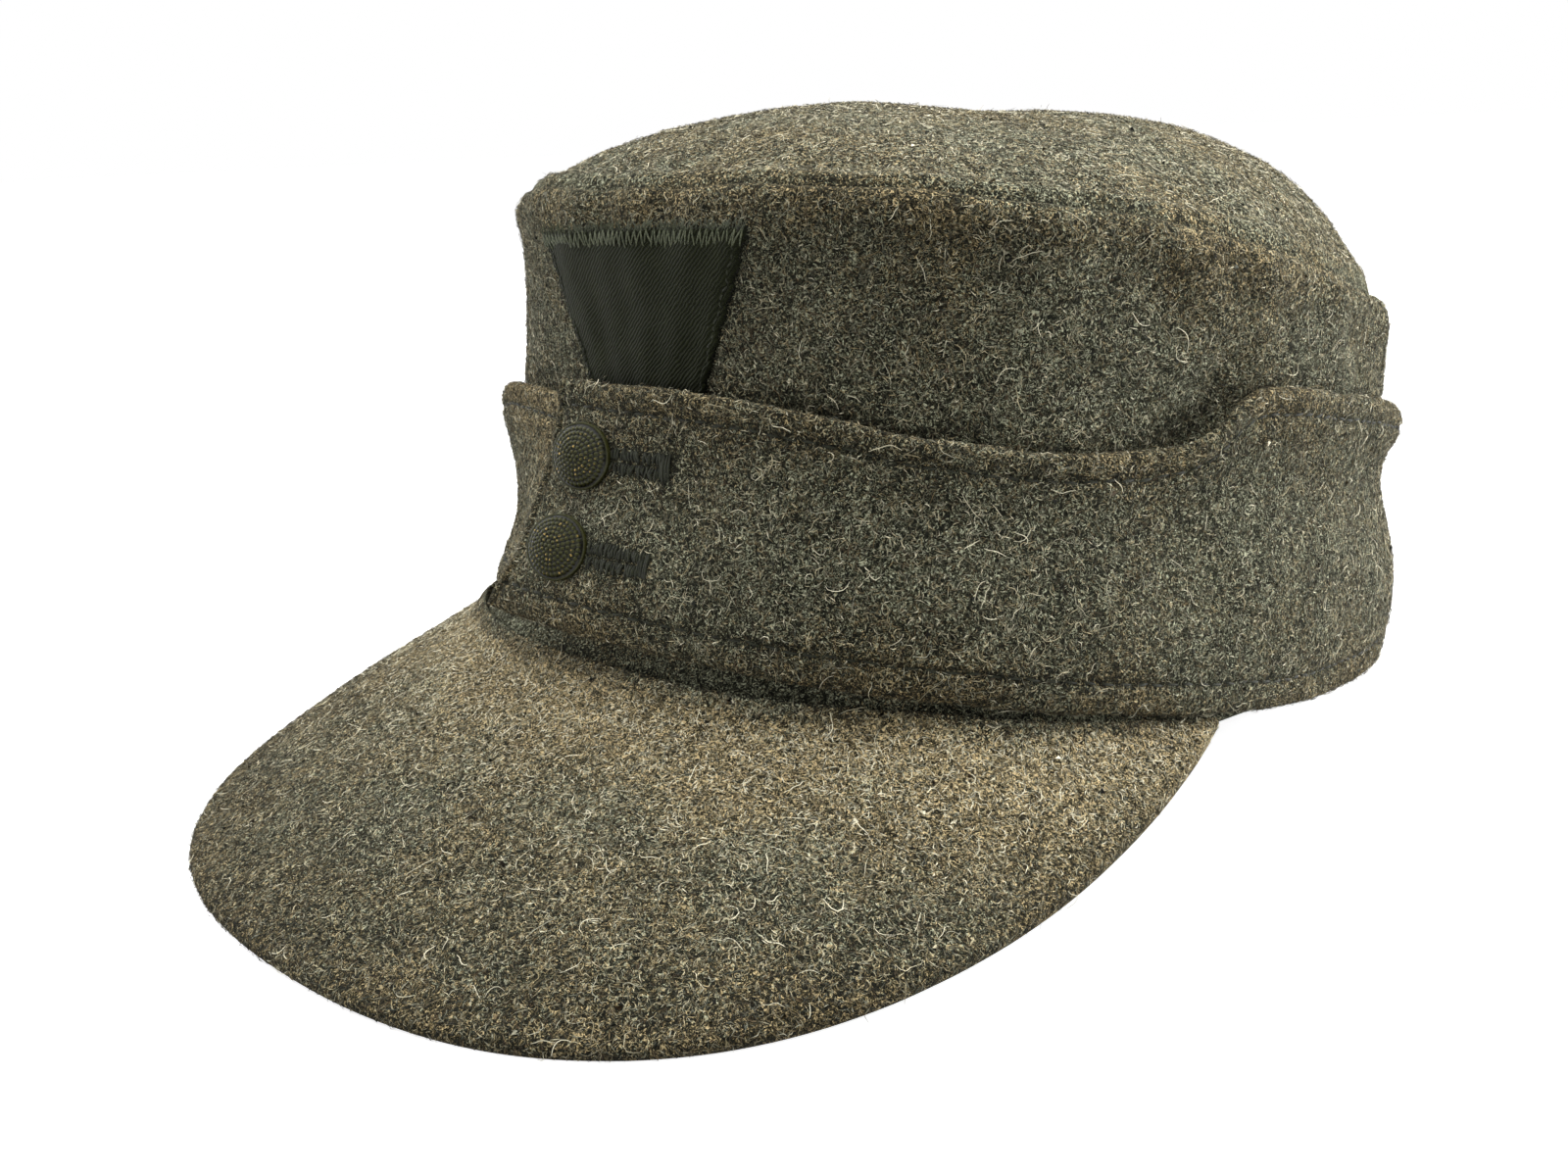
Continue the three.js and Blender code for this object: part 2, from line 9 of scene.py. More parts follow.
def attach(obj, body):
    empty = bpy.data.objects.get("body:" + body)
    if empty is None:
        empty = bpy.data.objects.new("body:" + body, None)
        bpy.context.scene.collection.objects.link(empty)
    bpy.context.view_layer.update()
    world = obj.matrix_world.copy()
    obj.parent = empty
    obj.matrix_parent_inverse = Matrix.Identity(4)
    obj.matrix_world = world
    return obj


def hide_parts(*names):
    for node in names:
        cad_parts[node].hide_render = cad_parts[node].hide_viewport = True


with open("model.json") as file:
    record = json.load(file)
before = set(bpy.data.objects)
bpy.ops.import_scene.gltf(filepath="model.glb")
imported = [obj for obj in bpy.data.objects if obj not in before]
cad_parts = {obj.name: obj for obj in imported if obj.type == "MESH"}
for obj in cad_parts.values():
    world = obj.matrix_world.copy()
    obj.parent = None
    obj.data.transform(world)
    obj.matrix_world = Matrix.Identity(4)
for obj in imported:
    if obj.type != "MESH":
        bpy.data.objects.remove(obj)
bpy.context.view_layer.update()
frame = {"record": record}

# Crown wall: the upright side of the cap, one band of thick melange wool cloth, in millimetres and in
# degrees from the front. It leans in at the front, rolls over a soft shoulder at the top seam, and
# puckers below it. Its rim lies in z = 0, and a little lower at the front, where the peak is sewn on.

FOOT = {"half_width": 93.6, "front": 104.1, "back": 107.8, "squareness": 2.15}
WALL_CLOTH = 2.0
SEWN_GAP = 0.3
LOOSE_GAP = 0.8
RIM_DIP = 2.9
CLEAR_OF_PEAK = (73, 77)
LOWEST = 0.00005

PLACES = {"front": 0, "quarter": 40, "side": 85, "corner": 115, "back": 180}
SEAM_HEIGHT = {
    "angle": [0, 20, 34, 46, 60, 72, 84, 98, 115, 145, 180],
    "height": [85.8, 86.6, 86.4, 85.2, 84.3, 81.6, 79.0, 75.8, 73.6, 72.2, 71.8],
}
WALL_LEAN = {
    "up": [0.00, 0.10, 0.30, 0.62, 0.75, 0.86, 0.95, 1.00],
    "front": [3.2, 5.5, 10.5, 15.2, 13.4, 11.0, 9.3, 9.4],
    "quarter": [3.2, 4.6, 8.8, 10.4, 10.4, 9.7, 8.6, 8.8],
    "side": [3.2, 3.2, 5.0, 8.0, 7.1, 6.6, 6.8, 7.9],
    "corner": [3.2, 3.2, 5.0, 7.6, 7.0, 7.2, 8.2, 9.4],
    "back": [3.2, 3.2, 5.0, 7.4, 6.6, 6.6, 7.4, 8.6],
}
WALL_DENTS = {
    "angle": [24, 44, 62, 80, 98, 128, 165, -150, -112, -76, -48],
    "up": [0.88, 0.86, 0.84, 0.84, 0.86, 0.84, 0.84, 0.85, 0.85, 0.84, 0.86],
    "width": [5, 4, 6, 4, 6, 7, 6, 7, 6, 5, 5],
    "height": [0.07, 0.09, 0.10, 0.10, 0.09, 0.10, 0.09, 0.10, 0.09, 0.10, 0.08],
    "depth": [1.3, 1.2, 1.6, 1.3, 1.2, 1.4, 1.2, 1.3, 1.4, 1.3, 1.0],
}
FLAP_LEAN = {
    "up": [0.00, 0.17, 0.35, 0.45, 0.55, 0.65, 0.73, 0.80, 0.87, 0.93, 1.00],
    "front": [0.2, 0.1, 1.7, 3.3, 4.9, 5.8, 6.2, 6.3, 6.2, 6.0, 5.8],
    "quarter": [0.2, -0.2, 0.6, 1.4, 2.5, 3.6, 4.5, 5.0, 5.3, 5.4, 5.5],
    "side": [0.2, -0.2, 0.3, 1.1, 2.2, 3.3, 3.7, 3.6, 3.1, 2.8, 3.2],
    "corner": [0.3, -0.1, 0.5, 1.7, 3.3, 4.9, 5.3, 4.5, 2.9, 2.3, 3.4],
    "back": [0.2, 0.0, 0.5, 1.5, 2.9, 4.2, 4.8, 4.4, 3.6, 3.2, 3.6],
}
FLAP_TOP = {
    "angle": [0, 18, 28, 38, 50, 61, 67, 71, 75, 90, 115, 180],
    "height": [52.5, 51.8, 50.4, 47.8, 46.4, 46.9, 49.8, 55.0, 57.2, 55.8, 52.3, 51.6],
}
FLAP_CLOTH = 2.8
FLAP_FRONT_LIFT = 8.2
FLAP_LIFT_ENDS = 88
UNDER_END = 24
LAYERS_PART = (30, 78)
OVER_END = {"leaves": 20, "proud": 1.3, "corner_flare": 3.6, "corner_lift": 1.6}
OVER_EDGE = {
    "up": [0.00, 0.10, 0.27, 0.45, 0.57, 0.70, 0.87, 1.00],
    "angle": [-14.2, -12.8, -11.0, -10.9, -10.9, -10.1, -9.0, -8.6],
}
FLAP_HOLLOWS = {
    "turn": [-38, -36, -262, -300, -205, -128],
    "up": [0.34, 0.92, 0.45, 0.62, 0.40, 0.50],
    "width": [20, 18, 9, 16, 14, 12],
    "height": [0.30, 0.22, 0.35, 0.25, 0.30, 0.30],
    "depth": [5.2, -3.3, 0.9, 0.9, 1.0, 1.1],
}

# The flat face under the back of the rim says how far the cap leans back as it rests, and where
rim_back = frame["record"]["mounts"][0]
RIM_BACK_Y = 103.5
LEAN_BACK = math.atan2(rim_back["axis"][1], -rim_back["axis"][2])


def curve_between(first, last, first_slope, last_slope, width, t):
    """Smooth way from one value to the next, with these slopes at its ends."""
    rise = t * t * (3 - 2 * t)
    bend = first_slope * t * (1 - t) ** 2 - last_slope * t * t * (1 - t)
    return first * (1 - rise) + last * rise + width * bend


def through_points(stations, values, x, level_ends=True):
    """Smooth curve through a table's points, read at every x."""
    stations, values = np.asarray(stations, float), np.asarray(values, float)
    at = np.clip(x, stations[0], stations[-1])
    i = np.clip(np.searchsorted(stations, at, side="left") - 1, 0, len(stations) - 2)
    chords = np.diff(values) / np.diff(stations)
    slopes = np.zeros(len(stations)) if level_ends else np.append(chords[0], chords)
    slopes[1:-1] = (values[2:] - values[:-2]) / (stations[2:] - stations[:-2])
    width = stations[i + 1] - stations[i]
    t = (at - stations[i]) / width
    return curve_between(values[i], values[i + 1], slopes[i], slopes[i + 1], width, t)


def from_front(angle):
    """Angle from the front, alike on both sides."""
    return np.abs((np.asarray(angle, float) + 540) % 360 - 180)


def on_side(table, up, angle):
    """Value of a table that has a column for each place round the cap."""
    columns = np.stack([through_points(table["up"], table[p], up, False) for p in PLACES])
    shape = np.broadcast_shapes(np.shape(up), np.shape(angle))
    columns = np.broadcast_to(columns, (len(PLACES),) + shape)
    angles = np.array(list(PLACES.values()), float)
    at = np.clip(from_front(angle), angles[0], angles[-1])
    at = np.broadcast_to(at, columns.shape[1:])
    i = np.clip(np.searchsorted(angles, at, side="left") - 1, 0, len(angles) - 2)
    spans = (angles[2:] - angles[:-2]).reshape((-1,) + (1,) * at.ndim)
    slopes = np.zeros(columns.shape)
    slopes[1:-1] = (columns[2:] - columns[:-2]) / spans

    def pick(array, k):
        return np.take_along_axis(array, k[None], 0)[0]

    width = angles[i + 1] - angles[i]
    t = (at - angles[i]) / width
    ends = [pick(array, k) for array in (columns, slopes) for k in (i, i + 1)]
    return curve_between(*ends, width, t)


def ease(x, start, end):
    t = np.clip((np.asarray(x, float) - start) / (end - start), 0, 1)
    return t * t * (3 - 2 * t)


def side_point(angle, height, lean):
    """Point on the cap's side: the outline at its foot, moved in by lean."""
    s, c = np.sin(np.radians(angle)), np.cos(np.radians(angle))
    n = FOOT["squareness"]
    reach = (np.abs(s) ** n + np.abs(c) ** n) ** (-1 / n)
    depth = np.where(c > 0, FOOT["front"], FOOT["back"]) - lean
    x, y = (FOOT["half_width"] - lean) * reach * s, -depth * reach * c
    return np.stack(np.broadcast_arrays(x, y, height), -1)


def hollows(table, angle, up, key):
    """Depth of a table's soft hollows at an angle and a share of the height."""
    total = 0.0
    for at, mid, width, height, depth in zip(*(table[k] for k in (key, "up", "width", "height", "depth"))):
        across = angle - at if key == "turn" else (angle - at + 540) % 360 - 180
        total = total + depth * np.exp(-((across / width) ** 2) - ((up - mid) / height) ** 2)
    return total


def flap_foot(angle):
    return FLAP_FRONT_LIFT * np.maximum(0, 1 - (from_front(angle) / FLAP_LIFT_ENDS) ** 2) ** 1.5


def flap_top(angle):
    return through_points(FLAP_TOP["angle"], FLAP_TOP["height"], from_front(angle))


def seam_height(angle):
    return through_points(SEAM_HEIGHT["angle"], SEAM_HEIGHT["height"], from_front(angle))


def along_over_end(turn):
    """Share of the way from where the flap's over end leaves the cap's curve to its edge."""
    leaves = OVER_END["leaves"] - 360
    return np.clip((leaves - turn) / (leaves + 360 - OVER_EDGE["angle"][0]), 0, 1)


def flap_lean(turn, up):
    """Lean of the flap's outside. turn is the angle round the strip, counted on past the overlap."""
    under = (FLAP_CLOTH + LOOSE_GAP) * (1 - ease(-turn, *LAYERS_PART))
    along = along_over_end(turn)
    flare = OVER_END["corner_flare"] * along**2 * (1 - ease(up, 0, 0.35))
    lean = on_side(FLAP_LEAN, up, turn) + under - OVER_END["proud"] * along**1.6 - flare
    return lean + hollows(FLAP_HOLLOWS, turn, up, "turn")


def behind_flap(angle, height):
    """Lean of the flap's inner face, under every layer."""
    low, high = flap_foot(angle), flap_top(angle)
    up = np.clip((height - low) / (high - low), 0, 1)
    wrapped = (angle + 540) % 360 - 180
    under = flap_lean(np.minimum(wrapped, UNDER_END), up)
    alone = np.where(wrapped > UNDER_END, flap_lean(wrapped - 360, up), under)
    innermost = under + (alone - under) * ease(wrapped, UNDER_END + 2, UNDER_END + 14)
    return innermost + FLAP_CLOTH - np.maximum(0, low - height) - 2 * np.maximum(0, height - high)


def rim_height(angle):
    return -RIM_DIP * (1 - ease(from_front(angle), 62, 80))


def rim_to_seam(angle):
    return seam_height(angle) - rim_height(angle)


def wall_height(angle, up):
    return rim_height(angle) + rim_to_seam(angle) * up


def wall_lean(angle, up):
    lean = on_side(WALL_LEAN, up, angle) + hollows(WALL_DENTS, angle, up, "angle")
    height = wall_height(angle, up)
    sewn = ease(from_front(angle), *CLEAR_OF_PEAK) * (1 - ease(height, 2, 9))
    gap = LOOSE_GAP + (SEWN_GAP - LOOSE_GAP) * sewn
    return np.maximum(lean, behind_flap(angle, height) + gap)


def cloudy(points, size, seed):
    """Smooth random value from -1 to 1 at each point, with lumps of about this size."""
    lattice = np.random.default_rng(seed).uniform(-1, 1, (32, 32, 32))
    at = points / size
    cell = np.floor(at).astype(int)
    t = at - cell
    t = t * t * (3 - 2 * t)
    total = 0.0
    for corner in np.ndindex(2, 2, 2):
        weight = np.prod(np.where(np.array(corner) == 1, t, 1 - t), axis=-1)
        total = total + weight * lattice[tuple(((cell + corner) % 32)[..., k] for k in range(3))]
    return total


def set_down(points):
    """From the frame that the cap is shaped in, in millimetres, to the cap as it rests, in metres."""
    y, z = points[..., 1], points[..., 2]
    c, s = math.cos(LEAN_BACK), math.sin(LEAN_BACK)
    turned = np.stack([points[..., 0], y * c - z * s, y * s + z * c], -1) / 1000
    rim = np.array([0, RIM_BACK_Y * c, RIM_BACK_Y * s]) / 1000
    return turned + np.array(rim_back["pos_m"]) - rim


def mesh_piece(name, points, faces, material):
    """A smooth-shaded piece from points in millimetres. The floor stops what would sink in."""
    rested = set_down(points)
    rested[..., 2] = np.maximum(rested[..., 2], LOWEST)
    mesh = bpy.data.meshes.new(name)
    mesh.from_pydata(rested, [], faces)
    mesh.shade_smooth()
    mesh.materials.append(material)
    piece = bpy.data.objects.new(name, mesh)
    bpy.context.scene.collection.objects.link(piece)
    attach(piece, "root")
    return piece


def cloth_piece(name, outside, inside, wraps, material, handled=None, painted_shading=None):
    """A piece of cloth from two grids of points, one for each side, that meet along its edges.
    handled says how far wear has browned it, and painted_shading is painted light above zero and painted
    shade below it."""
    rows, columns = outside.shape[:2]
    out = np.arange(rows * columns).reshape(rows, columns)
    back = out + rows * columns
    back[[0, -1]] = out[[0, -1]]
    if not wraps:
        back[:, [0, -1]] = out[:, [0, -1]]
    last = columns if wraps else columns - 1
    faces = []
    for grid, flip in ((out, False), (back, True)):
        a = grid[:-1, :last]
        b = np.roll(grid, -1, 1)[:-1, :last]
        c = np.roll(grid, -1, 1)[1:, :last]
        d = grid[1:, :last]
        quads = np.stack([a, b, c, d] if not flip else [a, d, c, b], -1).reshape(-1, 4)
        faces.append(quads)
    faces = np.concatenate(faces)
    points = np.concatenate([outside.reshape(-1, 3), inside.reshape(-1, 3)])
    used, faces = np.unique(faces, return_inverse=True)
    piece = mesh_piece(name, points[used], faces.reshape(-1, 4), material)
    for wear_and_painted_shade, grid in (("handled", handled), ("painted_shading", painted_shading)):
        if grid is not None:
            layer = piece.data.attributes.new(wear_and_painted_shade, "FLOAT", "POINT")
            layer.data.foreach_set("value", np.tile(np.ravel(grid), 2)[used])
    return piece


def edge_round(distance, radius):
    """Half thickness near a rounded edge, as a share of the full one."""
    return np.sqrt(np.clip(1 - (1 - np.clip(distance / radius, 0, 1)) ** 2, 0, 1))


def socket_number(links, node, name, value):
    if isinstance(value, bpy.types.NodeSocket):
        links.new(value, node.inputs[name])
    else:
        node.inputs[name].default_value = value


def maths(tree, kind, *values, clamp=False):
    node = tree.nodes.new("ShaderNodeMath")
    node.operation = kind
    node.use_clamp = clamp
    for k, value in enumerate(values):
        socket_number(tree.links, node, k, value)
    return node.outputs[0]


def noise(tree, where, scale, detail=2.0, roughness=0.5, distortion=0.0, seed=0.0):
    """Noise of a number of lumps to the millimetre, about 0.5 in the middle. The seed moves it."""
    moved = tree.nodes.new("ShaderNodeVectorMath")
    moved.operation = "ADD"
    tree.links.new(where, moved.inputs[0])
    moved.inputs[1].default_value = (137.1 * seed, 71.7 * seed, 29.3 * seed)
    node = tree.nodes.new("ShaderNodeTexNoise")
    tree.links.new(moved.outputs[0], node.inputs["Vector"])
    node.inputs["Scale"].default_value = scale
    node.inputs["Detail"].default_value = detail
    node.inputs["Roughness"].default_value = roughness
    node.inputs["Distortion"].default_value = distortion
    return node.outputs["Fac"]


def span(tree, value, low, high, to_low=0.0, to_high=1.0):
    """Value between low and high, mapped and held between two others."""
    node = tree.nodes.new("ShaderNodeMapRange")
    node.interpolation_type = "SMOOTHSTEP"
    tree.links.new(value, node.inputs["Value"])
    for name, number in zip(("From Min", "From Max", "To Min", "To Max"), (low, high, to_low, to_high)):
        node.inputs[name].default_value = number
    return node.outputs["Result"]


def blend_colour(tree, share, first, second):
    node = tree.nodes.new("ShaderNodeMix")
    node.data_type = "RGBA"
    for name, value in (("Factor", share), ("A", first), ("B", second)):
        socket = next(s for s in node.inputs if s.name == name and s.enabled)
        if isinstance(value, bpy.types.NodeSocket):
            tree.links.new(value, socket)
        else:
            socket.default_value = value if isinstance(value, float) else (*value, 1.0)
    return next(s for s in node.outputs if s.enabled)


def tangle(tree, where, scale, lines, distortion, seed):
    """Thin curly lines close beside each other, 1 on a line and 0 between, like matted fibres."""
    field = noise(tree, where, scale, 1.0, 0.5, distortion, seed)
    return maths(tree, "MULTIPLY", maths(tree, "PINGPONG", maths(tree, "MULTIPLY", field, lines), 0.5), 2.0)


def colour_ramp(tree, value, stops):
    node = tree.nodes.new("ShaderNodeValToRGB")
    tree.links.new(value, node.inputs["Fac"])
    elements = node.color_ramp.elements
    while len(elements) < len(stops):
        elements.new(0.5)
    for element, (place, colour) in zip(elements, stops):
        element.position = place
        element.color = (*colour, 1.0)
    return node.outputs["Color"]


def new_material(name):
    material = bpy.data.materials.new(name)
    material.use_nodes = True
    tree = material.node_tree
    tree.nodes.clear()
    output = tree.nodes.new("ShaderNodeOutputMaterial")
    shader = tree.nodes.new("ShaderNodeBsdfPrincipled")
    tree.links.new(shader.outputs[0], output.inputs["Surface"])
    return material, tree, shader


def millimetres(tree):
    """The place on the piece, in millimetres."""
    where = tree.nodes.new("ShaderNodeTexCoord").outputs["Object"]
    scaled = tree.nodes.new("ShaderNodeVectorMath")
    scaled.operation = "SCALE"
    tree.links.new(where, scaled.inputs[0])
    scaled.inputs["Scale"].default_value = 1000.0
    return scaled.outputs[0]


def attribute(tree, name):
    """A value that the mesh carries at its points."""
    node = tree.nodes.new("ShaderNodeAttribute")
    node.attribute_name = name
    return node.outputs["Fac"]


def emboss(tree, shader, height, strength, distance):
    bump = tree.nodes.new("ShaderNodeBump")
    bump.inputs["Strength"].default_value = strength
    bump.inputs["Distance"].default_value = distance
    tree.links.new(height, bump.inputs["Height"])
    tree.links.new(bump.outputs["Normal"], shader.inputs["Normal"])


# Wool fibres of five dyes, from the darkest green to undyed cream, seen in full light. The darkest end is
# also the painted shade in the gaps between fibres.
DYES = [(0.00, (0.002, 0.003, 0.001)), (0.32, (0.014, 0.015, 0.008)), (0.54, (0.070, 0.067, 0.038)),
        (0.76, (0.270, 0.245, 0.150)), (1.00, (0.760, 0.710, 0.500))]


def melange_wool(name, warmth, depth):
    """Napped wool cloth: fibres of several dyes matted together, with painted shade in the gaps between
    them. A depth above zero darkens the whole piece as painted shade, and one below zero lightens it as
    painted light.
    """
    material, tree, shader = new_material(name)
    where = millimetres(tree)
    near = tangle(tree, where, 0.70, 3.8, 1.6, 1.0)
    under = tangle(tree, where, 0.95, 3.5, 2.0, 2.0)
    dyes = noise(tree, where, 2.2, 2.0, 0.6, 0.8, seed=3.0)
    clouds = noise(tree, where, 0.11, 3.0, 0.65, seed=4.0)
    under = maths(tree, "MULTIPLY", span(tree, under, 0.50, 0.95), 0.75)
    fibres = maths(tree, "MAXIMUM", span(tree, near, 0.50, 0.95), under)
    dyed_fibres = maths(tree, "MULTIPLY", fibres, span(tree, dyes, 0.33, 0.67, 0.56, 1.16))
    level = maths(tree, "ADD", dyed_fibres, span(tree, clouds, 0.3, 0.7, 0.02, 0.14))
    # painted_shading lightens the wool as painted light above zero and darkens it as painted shade below,
    # and browns it where it is lighter.
    painted_shading = attribute(tree, "painted_shading")
    level = maths(tree, "ADD", level, maths(tree, "MULTIPLY", painted_shading, 0.20))
    colour = colour_ramp(tree, maths(tree, "SUBTRACT", level, depth), DYES)
    hue = noise(tree, where, 1.7, 3.0, 0.6, 0.6, seed=5.0)
    hue = maths(tree, "ADD", hue, span(tree, noise(tree, where, 0.05, 2.0, seed=6.0), 0.3, 0.7, -0.08, 0.08))
    hue = maths(tree, "ADD", hue, maths(tree, "MULTIPLY", attribute(tree, "handled"), 0.16))
    hue = maths(tree, "ADD", hue, maths(tree, "MULTIPLY", painted_shading, 0.16, clamp=True))
    browned = span(tree, hue, 0.62 - warmth, 0.80 - warmth)
    tint = blend_colour(tree, browned, (0.92, 1.02, 1.04), (1.15, 0.97, 0.74))
    dyed = tree.nodes.new("ShaderNodeVectorMath")
    dyed.operation = "MULTIPLY"
    tree.links.new(colour, dyed.inputs[0])
    tree.links.new(tint, dyed.inputs[1])
    tree.links.new(dyed.outputs[0], shader.inputs["Base Color"])
    emboss(tree, shader, noise(tree, where, 2.3, 2.0, 0.65, 1.2, seed=7.0), 1.0, 0.0010)
    shader.inputs["Roughness"].default_value = 0.95
    shader.inputs["Specular IOR Level"].default_value = 0.1
    shader.inputs["Sheen Weight"].default_value = 0.10
    shader.inputs["Sheen Roughness"].default_value = 0.5
    shader.inputs["Sheen Tint"].default_value = (0.80, 0.76, 0.60, 1.0)
    return material


# The wall is a little lighter: painted light.
wall_wool = melange_wool("crown_wall_wool", 0.08, -0.01)


def wall_surface(angle, up):
    """Outside of the wall: its table, the roll into the top seam, puckers under it and soft lumps."""
    height = wall_height(angle, up)
    below = seam_height(angle) - height
    lean = wall_lean(angle, up)
    lean = lean + 1.3 * (1 - edge_round(below, 5.0))
    there = side_point(angle, height, 0 * angle + 8.0)
    near_seam = np.exp(-((below - 5) / 6) ** 2)
    lean = lean + near_seam * 1.5 * cloudy(there * [1, 1, 0.45], 8.0, 21)
    lumps = 0.7 * cloudy(there, 17.0, 22) + 0.22 * cloudy(there, 5.0, 23)
    lean = lean + lumps * ease(height, -2, 9)
    hidden = ease(flap_top(angle) - height, -2.0, 5) * ease(height, 1, 8)
    at_notch = np.exp(-(((from_front(angle) - 69) / 6) ** 2) - ((flap_top(angle) - height + 2) / 7) ** 2)
    lean = lean + 3.4 * at_notch
    height = height + 0.45 * cloudy(there, 11.0, 24) * ease(below, 8, 0)
    lean = lean + 1.7 * hidden + 0.6 * ease(below, 1.0, 0)
    at_foot = 1 - ease(height, 0.8, 3.5)
    return lean * (1 - at_foot) + wall_lean(angle, 0 * up) * at_foot, height


HIDDEN_ROWS = [0, 0.012, 0.03, 0.045, 0.07, 0.10, 0.16, 0.24, 0.34, 0.44]


def wall_grid():
    """Points of the wall's outside and inside, its handled values and its painted shade. Its rows are few
    behind the flap, and close where it shows."""
    columns, shown, seen_from = 400, 30, 0.52
    angle = np.linspace(0, 360, columns, endpoint=False)[None]
    shown_ups = 1 - (1 - seen_from) * (1 - np.linspace(0, 1, shown)) ** 1.25
    ups = np.append(HIDDEN_ROWS, shown_ups)[:, None]
    lean, height = wall_surface(angle, ups)
    tall = rim_to_seam(angle)
    below_seam = (1 - ups) * tall
    half = WALL_CLOTH / 2 * edge_round(np.minimum(ups * tall, below_seam), WALL_CLOTH / 2)
    middle = lean + WALL_CLOTH / 2
    handled = np.exp(-((below_seam / 11) ** 2))
    # Painted shade in the seam's crease, and along the flap's top where the wall goes in behind it.
    painted_crease_shade = 0.9 * np.exp(-((below_seam / 0.7) ** 2))
    painted_crease_shade = painted_crease_shade + 0.5 * np.exp(-(((height - flap_top(angle)) / 3.0) ** 2))
    outside, inside = (side_point(angle, height, middle + side * half) for side in (-1, 1))
    return outside, inside, handled, -painted_crease_shade


outside, inside, handled, painted_shading = wall_grid()
crown_wall = cloth_piece("crown_wall_cloth", outside, inside, True, wall_wool, handled, painted_shading)
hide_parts("crown_wall")

# Crown top: the domed oval of the same wool, let into the top of the wall. The seam allowances lie under its
# edge and raise a soft ridge there, with the seam's crease, darkened by painted shade, and small puckers
# along it.

SUMMIT = {"y": -3.8, "height": 106.2}
TOP_FULLNESS = {"up": [0, 1], "front": [3.5, 3.5], "quarter": [2.6, 2.6], "side": [4.4, 4.4],
                "corner": [5.0, 5.0], "back": [4.0, 4.0]}


def top_point(angle, share, depth):
    lean, height = wall_surface(angle, np.ones_like(angle))
    edge = side_point(angle, height, lean + depth)
    drop = share ** on_side(TOP_FULLNESS, 0 * share, angle)
    inward = (1 - share) * np.hypot(edge[..., 0], edge[..., 1])
    ridge = 0.7 * np.exp(-((inward - 2.0) / 1.3) ** 2) - 0.35 * np.exp(-((inward - 5.6) / 2.2) ** 2)
    ridge = ridge * (1 + 0.6 * cloudy(edge, 7.0, 31)) - 1.0 * np.exp(-((inward / 0.6) ** 2))
    x, y = edge[..., 0] * share, SUMMIT["y"] + (edge[..., 1] - SUMMIT["y"]) * share
    z = SUMMIT["height"] - depth + (edge[..., 2] + 0.3 - SUMMIT["height"] + depth) * drop
    flat = np.stack([x, y, 0 * x], -1)
    lumps = 0.9 * cloudy(flat, 31.0, 32) + 0.35 * cloudy(flat, 12.0, 33) + 0.15 * cloudy(flat, 5.0, 34)
    calm = np.clip(inward / 12, 0.15, 1)
    return np.stack([x, y, z + lumps * calm + ridge], -1)


def top_grid():
    half_steps = 62
    steps = 1 - (1 - np.linspace(0, 1, half_steps)) ** 1.35
    line = np.concatenate([-steps[:0:-1], steps])
    u, v = np.meshgrid(line, line)
    share = np.maximum(np.abs(u), np.abs(v))
    wide = np.abs(u) >= np.abs(v)
    along, beside = np.where(np.abs(u) < 1e-9, 1e-9, u), np.where(np.abs(v) < 1e-9, 1e-9, v)
    quarter = np.where(wide, np.where(u >= 0, 0, np.pi) + np.arctan(v / along),
                       np.where(v >= 0, np.pi / 2, -np.pi / 2) - np.arctan(u / beside))
    angle = np.degrees(quarter)
    radius = np.hypot(*side_point(angle, 0, 10.0)[..., :2].transpose(2, 0, 1))
    from_edge = (1 - share) * radius
    half = WALL_CLOTH / 2 * edge_round(from_edge, WALL_CLOTH / 2)
    outside = top_point(angle, share, 0.0)
    inside = outside.copy()
    inside[..., 2] -= 2 * half
    inside[..., :2] *= 1 - (0.6 * half / radius)[..., None]
    # Painted shade in the seam's crease along the top's edge.
    return outside, inside, -0.9 * np.exp(-((from_edge / 0.8) ** 2))


# The top is lighter than the other pieces: painted light.
top_wool = melange_wool("crown_top_wool", 0.15, -0.07)
outside, inside, painted_shading = top_grid()
handled = np.full(outside.shape[:2], 0.2)
crown_top = cloth_piece("crown_top_cloth", outside, inside, False, top_wool, handled, painted_shading)
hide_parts("crown_top")

# Peak: two layers of the wool over a stiffener, sewn to the front of the rim under the flap. It is
# long, droops forward, and has a plain rounded edge with no stitching to be seen.

PEAK = {"length": 71.2, "ends": 71.9, "fullness": 3.54, "roundness": 0.86, "droop": 25.4, "curl": 3.1,
        "fan": 0.28, "thickness": 3.0, "root_height": 0.6, "root_rise": 3.4, "half_root": 115}


